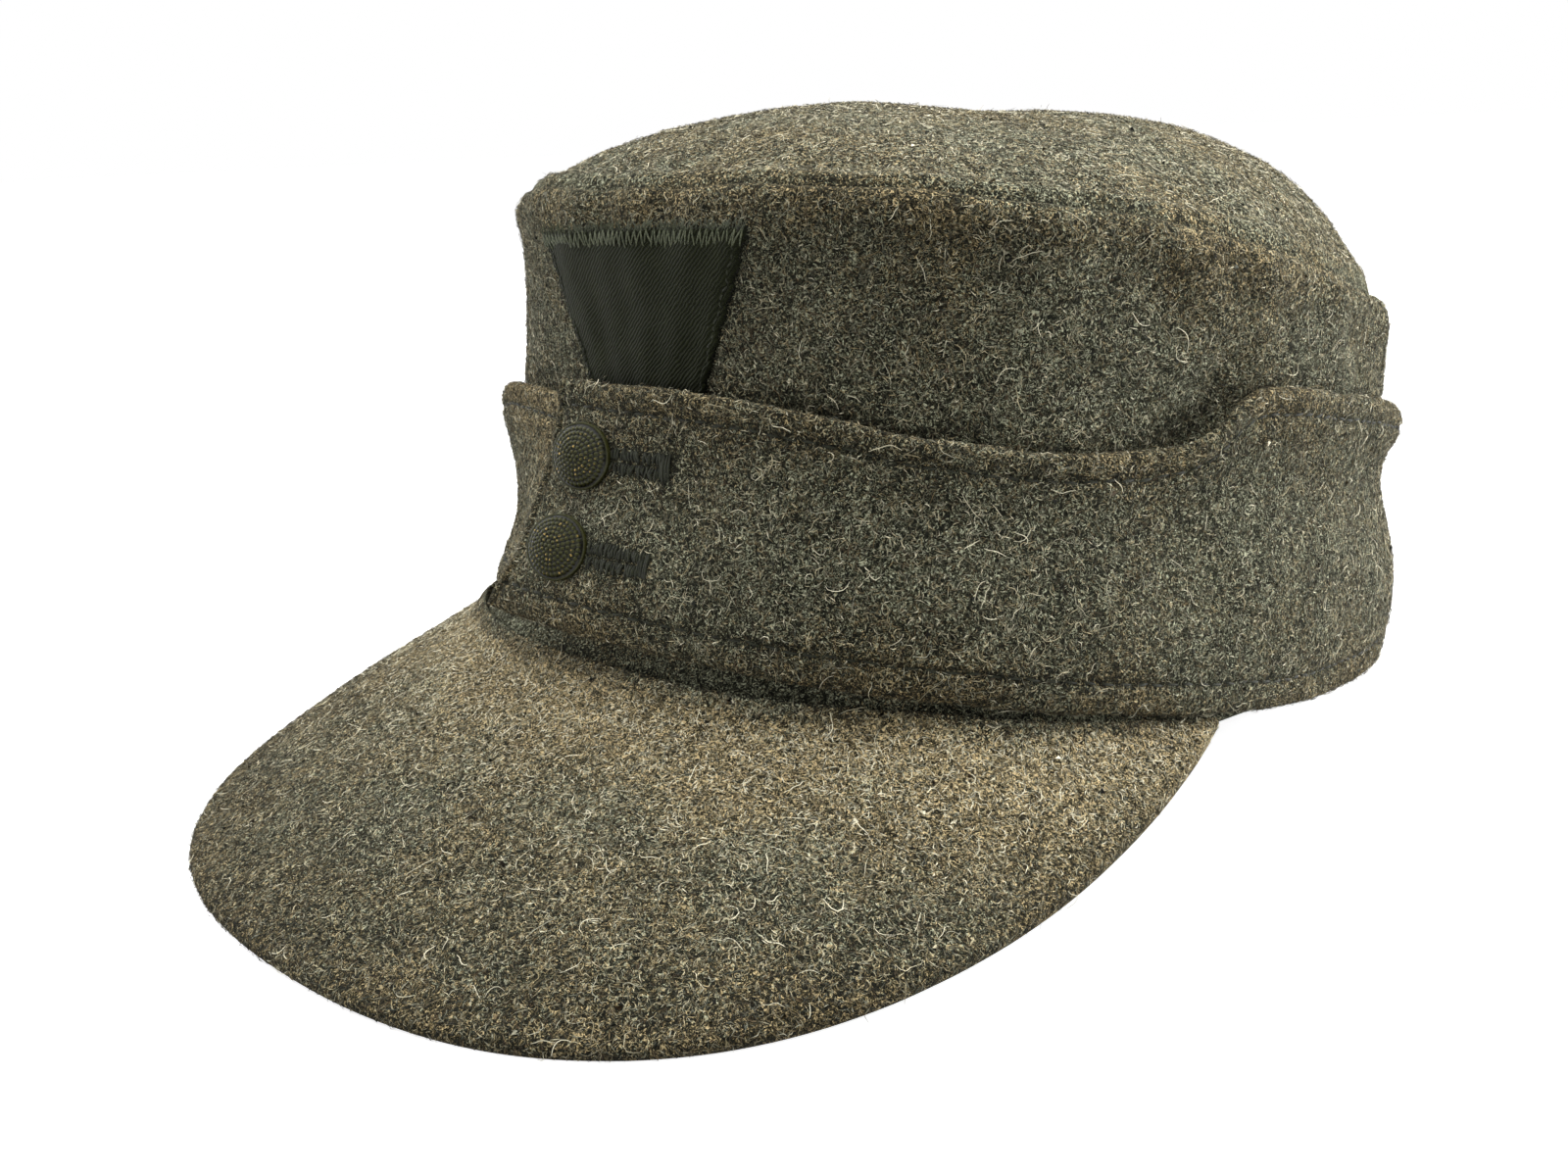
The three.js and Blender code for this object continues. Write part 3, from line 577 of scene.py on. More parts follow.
def peak_point(across, out, side):
    """across runs from -1 to 1 along the rim, out from the rim to the free edge."""
    angle = across * PEAK["ends"]
    root_lean = np.minimum(wall_lean(angle, 0 * angle), wall_lean(angle, 0 * angle + 0.03)) - SEWN_GAP
    root = side_point(angle, PEAK["root_height"], root_lean)
    taper = (1 - np.minimum(np.abs(across), 1) ** PEAK["fullness"]) ** PEAK["roundness"]
    length = np.maximum(PEAK["length"] * taper, 1.5)
    heading, droop = np.radians(PEAK["fan"] * angle), np.radians(PEAK["droop"] + PEAK["curl"] * out)
    away = [np.sin(heading) * np.cos(droop), -np.cos(heading) * np.cos(droop), -np.sin(droop)]
    normal = [np.sin(heading) * np.sin(droop), -np.cos(heading) * np.sin(droop), np.cos(droop)]
    away = np.stack(np.broadcast_arrays(*away), -1)
    normal = np.stack(np.broadcast_arrays(*normal), -1)
    normal = normal * ease(out, 0, 0.2)[..., None] + [0, 0, 1] * (1 - ease(out, 0, 0.2))[..., None]
    top = root + away * (length * out)[..., None]
    soft = (0.45 * cloudy(top, 21.0, 41) + 0.14 * cloudy(top, 6.0, 42)) * (1 - 0.6 * ease(out, 0.75, 1))
    turned_up = PEAK["root_rise"] * np.exp(-((length * out / 3.2) ** 2)) * (1 - across**4)
    top = top + np.stack([0 * soft, 0 * soft, turned_up * (1 - side)], -1)
    return top + normal * (soft - PEAK["thickness"] * side)[..., None], length


def peak_grid():
    columns, rows = 170, 56
    across = np.sin(np.pi / 2 * np.linspace(-1, 1, columns) * 0.98) / math.sin(np.pi * 0.49)
    out = np.append([0, 0.003, 0.007, 0.014], np.sin(np.pi / 2 * np.linspace(0.02, 1, rows - 4)) ** 0.9)
    across, out = np.meshgrid(across, out)
    top, length = peak_point(across, out, 0 * out)
    under, _ = peak_point(across, out, 0 * out + 1)
    from_root = out * length
    from_edge = np.minimum((1 - out) * length, (1 - np.abs(across)) * PEAK["half_root"])
    share = np.minimum(edge_round(from_edge, PEAK["thickness"] * 0.55), edge_round(from_root, 0.5))
    share = share[..., None]
    middle, half = (top + under) / 2, (top - under) / 2
    handled = 0.2 + 0.8 * np.exp(-((from_edge / 9) ** 2))
    # Painted light near the root, which the flap's foot shades, and painted shade towards the free edge.
    painted_shading = 1.2 * np.exp(-((from_root / 26) ** 2)) * ease(from_root, 0.5, 4)
    painted_shading = painted_shading - 0.35 * np.exp(-((from_edge / 14) ** 2)) * ease(from_root, 2, 12)
    grids = (middle + half * share, middle - half * share, handled, painted_shading)
    return [grid[:, ::-1] for grid in grids]


# The peak is darker: painted shade.
peak_wool = melange_wool("peak_wool", 0.15, 0.03)
outside, inside, handled, painted_shading = peak_grid()
peak = cloth_piece("peak_cloth", outside, inside, False, peak_wool, handled, painted_shading)
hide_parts("peak")

# Turn-up: the long neck and ear flap of doubled wool, folded up round the whole cap. The wearer's left end
# laps over the right one at the front and buttons down. A groove with painted shade along it runs along its
# top, its foot and its two ends.

UNDER_DROP = 3.6
EDGE_STITCH = {"top": 4.6, "foot": 5.6, "end": 2.8}
MM_PER_DEGREE = 1.75
BUTTONS = {"upper_button": {"x": -4.6, "height": 39.4, "turn": 15},
           "lower_button": {"x": -5.9, "height": 23.1, "turn": 19}}
BUTTONHOLE = {"end": 14.6, "start": 2.2, "pitch": 0.42, "reach": 2.3, "thread": 0.50, "darkened": (1, 16.5)}


def under_drop(turn):
    """How much lower the flap's top runs at its under end."""
    return UNDER_DROP * (1 - ease(-turn, 8, 34))


def lifted_foot(turn):
    """Height of the flap's foot, which rises a little towards the corner of the over end."""
    return flap_foot(turn) + OVER_END["corner_lift"] * along_over_end(turn) ** 2


def flap_height(turn):
    """How tall the flap is from foot to top."""
    return flap_top(turn) - under_drop(turn) - lifted_foot(turn)


def flap_surface(turn, up, depth):
    """Where a point of the flap is: its angle round the cap, height and lean, and its distances from
    the flap's top and foot. depth is 0 on the outside and 1 on the inside, which has no grooves."""
    along = along_over_end(turn)
    edge = through_points(OVER_EDGE["up"], OVER_EDGE["angle"], up, False)
    shaped = turn + (edge - OVER_EDGE["angle"][0]) * along
    low = flap_foot(shaped) + OVER_END["corner_lift"] * along**2
    full = flap_top(shaped)
    high = full - under_drop(turn)
    height = low + (high - low) * up
    level = side_point((shaped + 540) % 360 - 180, height, 0 * height + 6.0)
    wavy = 0.5 * cloudy(level * [1, 1, 0], 13.0, 51) * (ease(up, 0.8, 1) + 0.6 * (1 - ease(up, 0, 0.15)))
    lumps = (0.75 * cloudy(level, 19.0, 52) + 0.2 * cloudy(level, 6.0, 53)) * (1 - 0.7 * along)
    at_notch = np.exp(-(((from_front(shaped) - 68) / 5) ** 2) - ((1 - up) / 0.16) ** 2)
    lumps = lumps - 1.4 * at_notch
    from_top, from_foot = (1 - up) * (high - low), up * (high - low)
    groove = stitch_groove(from_top, EDGE_STITCH["top"], level)
    groove = groove + stitch_groove(from_foot, EDGE_STITCH["foot"], level)
    groove = groove + stitch_groove(along_from_end(turn), EDGE_STITCH["end"], level)
    lean = flap_lean(shaped, (height - low) / (full - low)) + lumps
    return shaped, height + wavy, lean + groove * (1 - depth), from_top, from_foot


def along_from_end(turn):
    """Millimetres along the strip from the nearer of its two ends."""
    finish = OVER_EDGE["angle"][0] - 360
    return np.minimum(turn - finish, UNDER_END - turn) * MM_PER_DEGREE


def stitch_groove(distance, line, place):
    """How far a row of stitches pulls the cloth in, and how the cloth swells beside it."""
    uneven = 1 + 0.45 * cloudy(place, 2.6, 54)
    near = (distance - line) / 0.75
    return (0.55 * np.exp(-near * near) - 0.14 * np.exp(-((distance - line) / 2.6) ** 2)) * uneven


def flap_grid():
    """Points of the flap's outside and inside, its handled and sewn values, and its painted light and shade.
    Its rows and columns lie closer near its edges."""
    columns = 430
    foot_band, top_band = 8.0, 7.0
    near_foot = [0, 0.25, 0.7, 1.4, 2.4, 3.6, 4.6, 5.2, 5.6, 6.0, 6.6, 7.4]
    near_top = [0, 0.25, 0.7, 1.4, 2.3, 3.3, 4.0, 4.4, 4.7, 5.1, 5.7, 6.4]
    ends = np.array([0, 0.25, 0.7, 1.4, 2.2, 2.6, 3.0, 3.6]) / MM_PER_DEGREE
    start, finish = UNDER_END, OVER_EDGE["angle"][0] - 360
    between = np.linspace(start - 2.6, finish + 2.6, columns - 2 * len(ends))
    turn = np.concatenate([start - ends, between, finish + ends[::-1]])[None]
    tall = flap_height(turn)
    rows = [d / tall for d in near_foot]
    rows += [(foot_band + (tall - foot_band - top_band) * s) / tall for s in np.linspace(0, 1, 14)]
    rows += [1 - d / tall for d in near_top[::-1]]
    up = np.concatenate(rows, 0)
    turn = np.broadcast_to(turn, up.shape)
    shaped, height, lean, from_top, from_foot = flap_surface(turn, up, 0.0)
    inner = flap_surface(turn, up, 1.0)[2]
    from_end = along_from_end(turn)
    from_edge = np.minimum(np.minimum(from_top, from_foot), from_end)
    half = FLAP_CLOTH / 2 * edge_round(from_edge, FLAP_CLOTH / 2)
    outside = side_point(shaped, height, lean + FLAP_CLOTH / 2 - half)
    inside = side_point(shaped, height, inner + FLAP_CLOTH / 2 + half)
    handled = np.exp(-((from_edge / 8) ** 2))
    grooves = ((from_top, "top"), (from_foot, "foot"), (from_end, "end"))
    # Painted shade along the stitch grooves; fewer fibres lie there too.
    sewn = 0.8 * sum(np.exp(-(((distance - EDGE_STITCH[edge]) / 0.6) ** 2)) for distance, edge in grooves)
    x, y, z = outside[..., 0], outside[..., 1], outside[..., 2]
    # Painted shade under the buttonholes' thread, for the slit and the gaps between stitches; fewer fibres
    # lie there too.
    left, right = BUTTONHOLE["darkened"]
    at_front = (x > left) & (x < right) & (y < 0)
    for button in BUTTONS.values():
        sewn = sewn + 1.2 * at_front * np.exp(-(((z - button["height"]) / 2.2) ** 4))
    at_over_end = turn < OVER_END["leaves"] - 360
    # Painted shade along the foot's edge and the over end's edge.
    darker = sewn + 0.25 * (1 - ease(from_foot, 0.5, 2.5))
    darker = darker + 0.6 * at_over_end * (1 - ease(from_end, 0.6, 2.2))
    # Painted light on the under layer where it shows beside the over end.
    under_layer = np.exp(-(((turn + 20) / 12) ** 2))
    darker = darker - 0.9 * under_layer
    return [grid[:, ::-1] for grid in (outside, inside, handled, np.minimum(sewn, 0.95), -darker)]


# The flap is darker: painted shade.
flap_wool = melange_wool("turn_up_wool", 0.08, 0.03)
outside, inside, handled, _, painted_shading = flap_grid()
flap = cloth_piece("turn_up_cloth", outside, inside, False, flap_wool, handled, painted_shading)
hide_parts("turn_up")

# Front patch: a small piece of dark green twill, wider at the top, sewn to the front of the crown by
# hand. It is bare. Its top edge is turned in and held by a lighter zigzag, and its threads fray there.

PATCH = {"middle": -0.5, "top": 79.0, "bottom": 50.2, "top_width": 53.4, "bottom_width": 29.0,
         "thickness": 0.9, "slant": 0.6}


def angle_at_x(x, lean_at):
    """Angle round the cap at which a surface has this x."""
    angle = np.zeros_like(x)
    for _ in range(6):
        here = side_point(angle, 0 * x, lean_at(angle))[..., 0]
        angle = angle + np.degrees((x - here) / FOOT["half_width"])
    return angle


def front_of_wall(x, height):
    def lean_at(angle):
        return wall_surface(angle, (height - rim_height(angle)) / rim_to_seam(angle))[0]
    angle = angle_at_x(x, lean_at)
    return side_point(angle, height, lean_at(angle))


def facing_out(surface, x, height):
    """Points of a surface at (x, height), and the way that it faces there."""
    step = 1.0
    along = surface(x + step, height) - surface(x - step, height)
    upward = surface(x, height + step) - surface(x, height - step)
    normal = np.cross(along, upward)
    return surface(x, height), normal / np.linalg.norm(normal, axis=-1, keepdims=True)


def patch_width(rise):
    return PATCH["bottom_width"] + rise * (PATCH["top_width"] - PATCH["bottom_width"])


def on_patch(across, rise, proud):
    """Point of the patch, from -0.5 to 0.5 across it and 0 to 1 up it, and the way it faces."""
    height = PATCH["bottom"] + rise * (PATCH["top"] + 2 * PATCH["slant"] * across - PATCH["bottom"])
    wide = patch_width(rise)
    ragged = 0.25 * np.sin(across * 61 + rise * 43) + 0.2 * np.sin(rise * 97 + across * 23)
    place, normal = facing_out(front_of_wall, PATCH["middle"] + across * wide + ragged, height)
    return place + normal * np.broadcast_to(proud, across.shape)[..., None], normal


def patch_grid():
    across, rise = np.meshgrid(np.linspace(-0.5, 0.5, 72), np.linspace(0, 1, 48))
    tall = PATCH["top"] - PATCH["bottom"]
    from_side, from_top = (0.5 - np.abs(across)) * patch_width(rise), (1 - rise) * tall
    from_edge = np.minimum(np.minimum(from_side, from_top), rise * tall)
    cockle = 0.16 * np.sin(across * 9 + rise * 5) * np.sin(rise * 7 + 1) + 0.1 * np.sin(across * 31)
    sewn = -0.28 * np.exp(-(((from_edge - 1.3) / 0.6) ** 2))
    outer = 0.45 + 0.65 * edge_round(from_edge, 0.5) + (cockle + sewn) * ease(from_edge, 0.2, 1.5)
    return on_patch(across, rise, outer)[0], on_patch(across, rise, 0.3)[0]


def twill_cloth(name, ground, rib):
    """Fine cotton twill: ribs that rise to the right, paler on their crowns and dark between them as painted
    light and shade, and paler in worn patches.
    """
    material, tree, shader = new_material(name)
    where = millimetres(tree)
    split = tree.nodes.new("ShaderNodeSeparateXYZ")
    tree.links.new(where, split.inputs[0])
    across, upward = split.outputs["X"], split.outputs["Z"]
    wander = maths(tree, "MULTIPLY", noise(tree, where, 0.7, 2.0, seed=8.0), 1.1)
    diagonal = maths(tree, "ADD", maths(tree, "SUBTRACT", across, upward), wander)
    ribs = maths(tree, "SINE", maths(tree, "MULTIPLY", diagonal, 7.2))
    threads = maths(tree, "SINE", maths(tree, "MULTIPLY", maths(tree, "ADD", across, upward), 11.0))
    height = maths(tree, "ADD", ribs, maths(tree, "MULTIPLY", threads, 0.35))
    fluff = noise(tree, where, 3.0, 3.0, 0.7, 0.5, seed=9.0)
    wear_and_painted_shade = noise(tree, where, 0.16, 3.0, 0.6, seed=10.0)
    # Ribs lighter on their crowns and dark in the valleys: painted light and shade of the ribs.
    level = span(tree, height, -1.2, 1.3, 0.0, 0.6)
    level = maths(tree, "ADD", level, span(tree, fluff, 0.3, 0.7, 0.0, 0.4))
    colour = blend_colour(tree, level, ground, rib)
    paler = tuple(c * 1.6 for c in rib)
    wear_and_painted_shade = maths(tree, "MULTIPLY", span(tree, wear_and_painted_shade, 0.50, 0.74), 0.22)
    colour = blend_colour(tree, wear_and_painted_shade, colour, paler)
    tree.links.new(colour, shader.inputs["Base Color"])
    emboss(tree, shader, height, 0.8, 0.00012)
    shader.inputs["Roughness"].default_value = 0.85
    shader.inputs["Specular IOR Level"].default_value = 0.15
    shader.inputs["Sheen Weight"].default_value = 0.03
    return material


patch = cloth_piece("front_patch_twill", *patch_grid(), False,
                    twill_cloth("dark_green_twill", (0.003, 0.004, 0.001), (0.019, 0.023, 0.007)))
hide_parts("front_patch")


def sew(name, starts, ends, outward, thickness, arch, material, sides=6):
    """Stitches of thread: each an arched strand from its start to its end, sunk at both."""
    shares = np.array([0.0, 0.12, 0.5, 0.88, 1.0])
    plump = np.array([0.35, 0.85, 1.0, 0.85, 0.35])
    lift = arch * np.sin(np.pi * shares) - 0.10
    count = len(starts)
    line = starts[:, None] * (1 - shares)[None, :, None] + ends[:, None] * shares[None, :, None]
    line = line + outward[:, None] * np.broadcast_to(lift, (count, len(shares)))[..., None]
    along = ends - starts
    along = along / np.linalg.norm(along, axis=1, keepdims=True)
    beside = np.cross(outward, along)
    beside = beside / np.linalg.norm(beside, axis=1, keepdims=True)
    above = np.cross(along, beside)
    turn = np.arange(sides) * 2 * np.pi / sides
    ring = (beside[:, None] * np.cos(turn)[None, :, None] + above[:, None] * np.sin(turn)[None, :, None])
    points = line[:, :, None] + ring[:, None] * (plump * thickness / 2)[None, :, None, None]
    index = np.arange(count * len(shares) * sides).reshape(count, len(shares), sides)
    after = np.roll(index, -1, 2)
    quads = np.stack([index[:, :-1], after[:, :-1], after[:, 1:], index[:, 1:]], -1).reshape(-1, 4)
    return mesh_piece(name, points.reshape(-1, 3), quads, material)


def thread_material(name, dark, pale):
    material, tree, shader = new_material(name)
    where = millimetres(tree)
    ply = noise(tree, where, 2.6, 2.0, 0.6, 1.2, seed=12.0)
    tree.links.new(blend_colour(tree, span(tree, ply, 0.35, 0.65), dark, pale), shader.inputs["Base Color"])
    shader.inputs["Roughness"].default_value = 0.7
    shader.inputs["Specular IOR Level"].default_value = 0.3
    shader.inputs["Sheen Weight"].default_value = 0.15
    return material


green_thread = thread_material("dark_green_thread", (0.003, 0.004, 0.001), (0.021, 0.025, 0.008))
hem_thread = thread_material("hem_thread", (0.040, 0.050, 0.024), (0.150, 0.165, 0.095))

rng = np.random.default_rng(71)
zigzags = 78
at = np.linspace(-0.492, 0.492, zigzags)
lean_over = np.where(np.arange(zigzags) % 2 == 0, 0.006, -0.006) + rng.normal(0, 0.002, zigzags)
low_ends, outward = on_patch(at - lean_over, 0.895 + rng.normal(0, 0.008, zigzags), 1.15)
high_ends, _ = on_patch(at + lean_over, 0.99 + rng.normal(0, 0.006, zigzags), 1.05)
hem = sew("patch_hem_stitches", low_ends, high_ends, outward, 0.34, 0.18, hem_thread)

# Edge stitches run up both sides and then along the foot
a_side, at_foot = 22, 18
up_a_side = np.linspace(0.02, 0.98, a_side)
edge_rise = np.concatenate([up_a_side, up_a_side, np.full(at_foot, 0.045)])
edge_at = np.concatenate([np.full(a_side, -0.47), np.full(a_side, 0.47), np.linspace(-0.45, 0.45, at_foot)])
long_rise = np.concatenate([np.full(2 * a_side, 0.030), np.zeros(at_foot)])
long_at = np.concatenate([np.zeros(2 * a_side), np.full(at_foot, 0.020)])
first_ends, outward = on_patch(edge_at - long_at, edge_rise - long_rise * 0.5, 1.0)
last_ends, _ = on_patch(edge_at + long_at, edge_rise + long_rise * 0.5, 1.0)
edge_stitches = sew("patch_edge_stitches", first_ends, last_ends, outward, 0.34, 0.10, green_thread)

frays = 260
at = rng.uniform(-0.495, 0.495, frays)
from_here, outward = on_patch(at, 0.975 + rng.uniform(0, 0.02, frays), 0.95)
to_there, _ = on_patch(at + rng.normal(0, 0.010, frays), 1.0 + rng.uniform(0.005, 0.055, frays), 0.75)
fray = sew("patch_fray", from_here, to_there, outward, 0.16, 0.35, hem_thread, 3)

# Row stitches along the turn-up's top and foot, and its two buttonholes: dark green thread. The rows
# sink into the wool. Each buttonhole is whipped with close, uneven stitches and ends in a bar.

STITCH = {"pitch": 3.3, "length": 2.5, "thickness": 0.5, "arch": 0.16}


def flap_outside(turn, up):
    shaped, height, lean, _, _ = flap_surface(turn, up, 0.0)
    return side_point(shaped, height, lean)


def row_of_stitches(from_top=None, from_foot=None):
    """Both ends of each stitch in a row, as the turn and the share of the flap's height."""
    def share(turn):
        return from_foot / flap_height(turn) if from_top is None else 1 - from_top / flap_height(turn)

    start, finish = UNDER_END - 2, OVER_EDGE["angle"][0] - 360 + 1.2
    turns = np.linspace(start, finish, 6000)
    line = flap_outside(turns, share(turns))
    run = np.append(0, np.cumsum(np.linalg.norm(np.diff(line, axis=0), axis=1)))
    middles = np.arange(STITCH["pitch"], run[-1] - 1, STITCH["pitch"])
    ends = []
    for shift in (-0.5, 0.5):
        turn = np.interp(middles + shift * STITCH["length"], run, turns)
        ends.append((turn, share(turn)))
    return ends


def sew_on_flap(name, ends, seed):
    (turn_a, up_a), (turn_b, up_b) = ends
    shift = np.random.default_rng(seed).normal(0, 0.004, (2, len(turn_a)))
    a, b = flap_outside(turn_a, up_a + shift[0]), flap_outside(turn_b, up_b + shift[1])
    axis = np.stack([a[:, 0], a[:, 1], 0 * a[:, 2]], -1)
    outward = axis / np.linalg.norm(axis, axis=1, keepdims=True)
    piece = sew(name, a, b, outward, STITCH["thickness"], STITCH["arch"], green_thread)


sew_on_flap("top_row_stitches", row_of_stitches(from_top=EDGE_STITCH["top"]), 81)
sew_on_flap("foot_row_stitches", row_of_stitches(from_foot=EDGE_STITCH["foot"]), 82)


def front_of_flap(x, height):
    def surface_at(angle):
        low = lifted_foot(angle - 360)
        up = (height - low) / (flap_top(angle) - low)
        shaped, _, lean, _, _ = flap_surface(angle - 360, up, 0.0)
        return shaped, lean
    angle = np.zeros_like(x)
    for _ in range(10):
        shaped, lean = surface_at(angle)
        here = side_point(shaped, 0 * x, lean)[..., 0]
        angle = angle + np.degrees((x - here) / FOOT["half_width"])
    shaped, lean = surface_at(angle)
    return side_point(shaped, height, lean)


rng = np.random.default_rng(83)
starts, ends, outwards = [], [], []
for place in BUTTONS.values():
    count = int((BUTTONHOLE["end"] - BUTTONHOLE["start"]) / BUTTONHOLE["pitch"])
    for side in (-1, 1):
        x = BUTTONHOLE["start"] + BUTTONHOLE["pitch"] * np.arange(count) + rng.normal(0, 0.15, count)
        near = place["height"] + side * rng.uniform(0.1, 0.4, count)
        far = place["height"] + side * BUTTONHOLE["reach"] * rng.uniform(0.75, 1.15, count)
        a, outward = facing_out(front_of_flap, x, near)
        b, _ = facing_out(front_of_flap, x + rng.normal(0, 0.5, count), far)
        starts.append(a)
        ends.append(b)
        outwards.append(outward)
    bars = 7
    x = BUTTONHOLE["end"] + np.linspace(-0.9, 0.9, bars)
    reach = rng.uniform(1.7, 2.7, (2, bars))
    a, outward = facing_out(front_of_flap, x, place["height"] - reach[0])
    b, _ = facing_out(front_of_flap, x + rng.normal(0, 0.3, bars), place["height"] + reach[1])
    starts.append(a)
    ends.append(b)
    outwards.append(outward)
starts, ends, outwards = (np.concatenate(part) for part in (starts, ends, outwards))
lifted = outwards * rng.uniform(0.05, 0.3, (len(starts), 1))
buttonholes = sew("buttonhole_stitches", starts + lifted, ends + lifted, outwards, BUTTONHOLE["thread"], 0.3,
                  green_thread)

# Buttons: two stamped metal buttons, domed and pebbled in even rings inside a thin smooth lip. The
# olive-grey field paint has worn through to brass on a few pebbles.

BUTTON = {"dome": 2.1, "dome_ends": 5.55, "dome_reach": 5.9, "lip": 5.6, "rim": 0.8, "stand": 2.0,
          "pebble": 0.82, "relief": 0.38, "last_pebble": 5.45}
# Its profile after the dome: three points of the lip, measured from the dome's end, then the edge, the
# back and the shank, which is 2.4 across
OUTER_RADIUS = [5.65, 5.77, 5.9, 5.98, 6.0, 5.97, 5.85, 5.4, 1.2, 1.2]
LIP_RISE = [-0.06, 0.05, -0.02]
BACK_DEPTH = [0.62, 0.40, 0.18, 0.05, 0.0, 0.0]


def smooth_front_of_flap(x, height):
    """Outside of the flap before any lumps, where the buttons are fixed."""
    def lean_at(angle):
        low = flap_foot(angle)
        return flap_lean(angle - 360, (height - low) / (flap_top(angle) - low))
    angle = angle_at_x(x, lean_at)
    return side_point(angle, height, lean_at(angle))


def button_mesh(name, place, material):
    rings, columns = 46, 210
    radius = np.concatenate([np.linspace(0, BUTTON["dome_ends"], rings), OUTER_RADIUS])
    dome = BUTTON["rim"] + BUTTON["dome"] * (1 - (radius[:rings] / BUTTON["dome_reach"]) ** 2)
    lip = [dome[-1] + rise for rise in LIP_RISE]
    shank_foot = -(BUTTON["stand"] + FLAP_CLOTH + LOOSE_GAP - SEWN_GAP)
    depth = np.concatenate([dome, lip, BACK_DEPTH, [shank_foot]])
    turn = np.linspace(0, 2 * np.pi, columns, endpoint=False)
    r, turn = np.meshgrid(radius, turn, indexing="ij")
    level = np.broadcast_to(depth[:, None], r.shape).copy()
    ring = np.round(r / BUTTON["pebble"])
    per_ring = np.maximum(np.round(2 * np.pi * ring), 1)
    around = (turn / (2 * np.pi) * per_ring + 0.5 * (ring % 2)) % 1 - 0.5
    arc = np.where(ring > 0, around * 2 * np.pi * np.maximum(ring, 1) / per_ring, 0)
    off = np.hypot(r / BUTTON["pebble"] - ring, arc)
    pebble = np.clip(1 - (off / 0.5) ** 2, 0, 1)
    pebble = pebble * ease(BUTTON["last_pebble"] - r, 0, 0.3)
    level += BUTTON["relief"] * pebble
    x, z = r * np.cos(turn), r * np.sin(turn)
    middle, normal = facing_out(smooth_front_of_flap, np.array([place["x"]]), np.array([place["height"]]))
    middle, normal = middle[0], normal[0]
    across = np.array([1.0, 0, 0]) - normal * normal[0]
    across = across / np.linalg.norm(across)
    upward = np.cross(normal, across)
    swing = math.radians(place["turn"])
    face = normal * math.cos(swing) + np.cross(upward, normal) * math.sin(swing)
    side = across * math.cos(swing) + np.cross(upward, across) * math.sin(swing)
    origin = middle - normal * (FLAP_CLOTH + LOOSE_GAP - SEWN_GAP) - face * shank_foot
    points = origin + side * x[..., None] + upward * z[..., None] + face * level[..., None]
    index = np.arange(r.size).reshape(r.shape)
    after = np.roll(index, -1, 1)
    quads = np.stack([index[:-1], index[1:], after[1:], after[:-1]], -1).reshape(-1, 4)
    piece = mesh_piece(name, points.reshape(-1, 3), quads, material)
    wear_and_painted_shade = piece.data.attributes.new("crown_of_pebble", "FLOAT", "POINT")
    wear_and_painted_shade.data.foreach_set("value", np.maximum(pebble, 0.45 * (r > BUTTON["lip"])).ravel())
    return piece


painted_brass, tree, shader = new_material("painted_brass")
where = millimetres(tree)
crown = attribute(tree, "crown_of_pebble")
rubbed = noise(tree, where, 0.45, 2.0, 0.6, seed=13.0)
spots = noise(tree, where, 1.6, 2.0, 0.7, seed=14.0)
bare = maths(tree, "MULTIPLY", span(tree, crown, 0.45, 0.85), span(tree, spots, 0.57, 0.62))
bare = maths(tree, "MULTIPLY", bare, span(tree, rubbed, 0.48, 0.56))
# The paint is near black between the pebbles and lighter on their crowns: painted shade in the hollows.
raised = span(tree, crown, 0.0, 0.7)
paint = blend_colour(tree, raised, (0.004, 0.004, 0.001), (0.056, 0.057, 0.015))
dusty = noise(tree, where, 0.9, 3.0, 0.7, seed=15.0)
dust = maths(tree, "MULTIPLY", span(tree, dusty, 0.45, 0.75), 0.5)
paint = blend_colour(tree, dust, paint, (0.058, 0.060, 0.030))
tree.links.new(blend_colour(tree, bare, paint, (0.42, 0.28, 0.09)), shader.inputs["Base Color"])
tree.links.new(maths(tree, "MULTIPLY", bare, 0.9), shader.inputs["Metallic"])
tree.links.new(span(tree, dusty, 0.3, 0.7, 0.20, 0.34), shader.inputs["Roughness"])
shader.inputs["Specular IOR Level"].default_value = 0.20

for name, place in BUTTONS.items():
    button = button_mesh(name + "_pebbled", place, painted_brass)
    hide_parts(name)

# Loose wool: the nap of the cloth. Short fibres of every dye lie matted over the four wool pieces.
# Fewer long ones curl over them, with free ends that stand off the cloth and blur its outline.

# pale lifts the dye of each piece's fibres: the top's most, as painted light, the peak's least, as painted
# shade.
NAP = {
    "crown_wall": {"short": 72000, "long": 1500, "pale": 0.02},
    "crown_top": {"short": 80000, "long": 1500, "pale": 0.07},
    "turn_up": {"short": 86000, "long": 2100, "pale": 0.02},
    "peak": {"short": 52000, "long": 1000, "pale": 0.01},
}
FIBRES = {
    "short": {"length": (0.8, 2.1), "width": 0.16, "bend": 0.75, "parts": 2,
              "bow": 0.14, "free_end": 0.16, "highest": 0.45, "paler": 0.0},
    "long": {"length": (2.2, 5.6), "width": 0.13, "bend": 0.50, "parts": 6,
             "bow": 0.20, "free_end": 0.40, "highest": 1.6, "paler": 0.20},
}
# The fibres are paler where the cloth has painted light, and darker where it has painted shade.
PAINTED_SHADING_PALER = 0.2


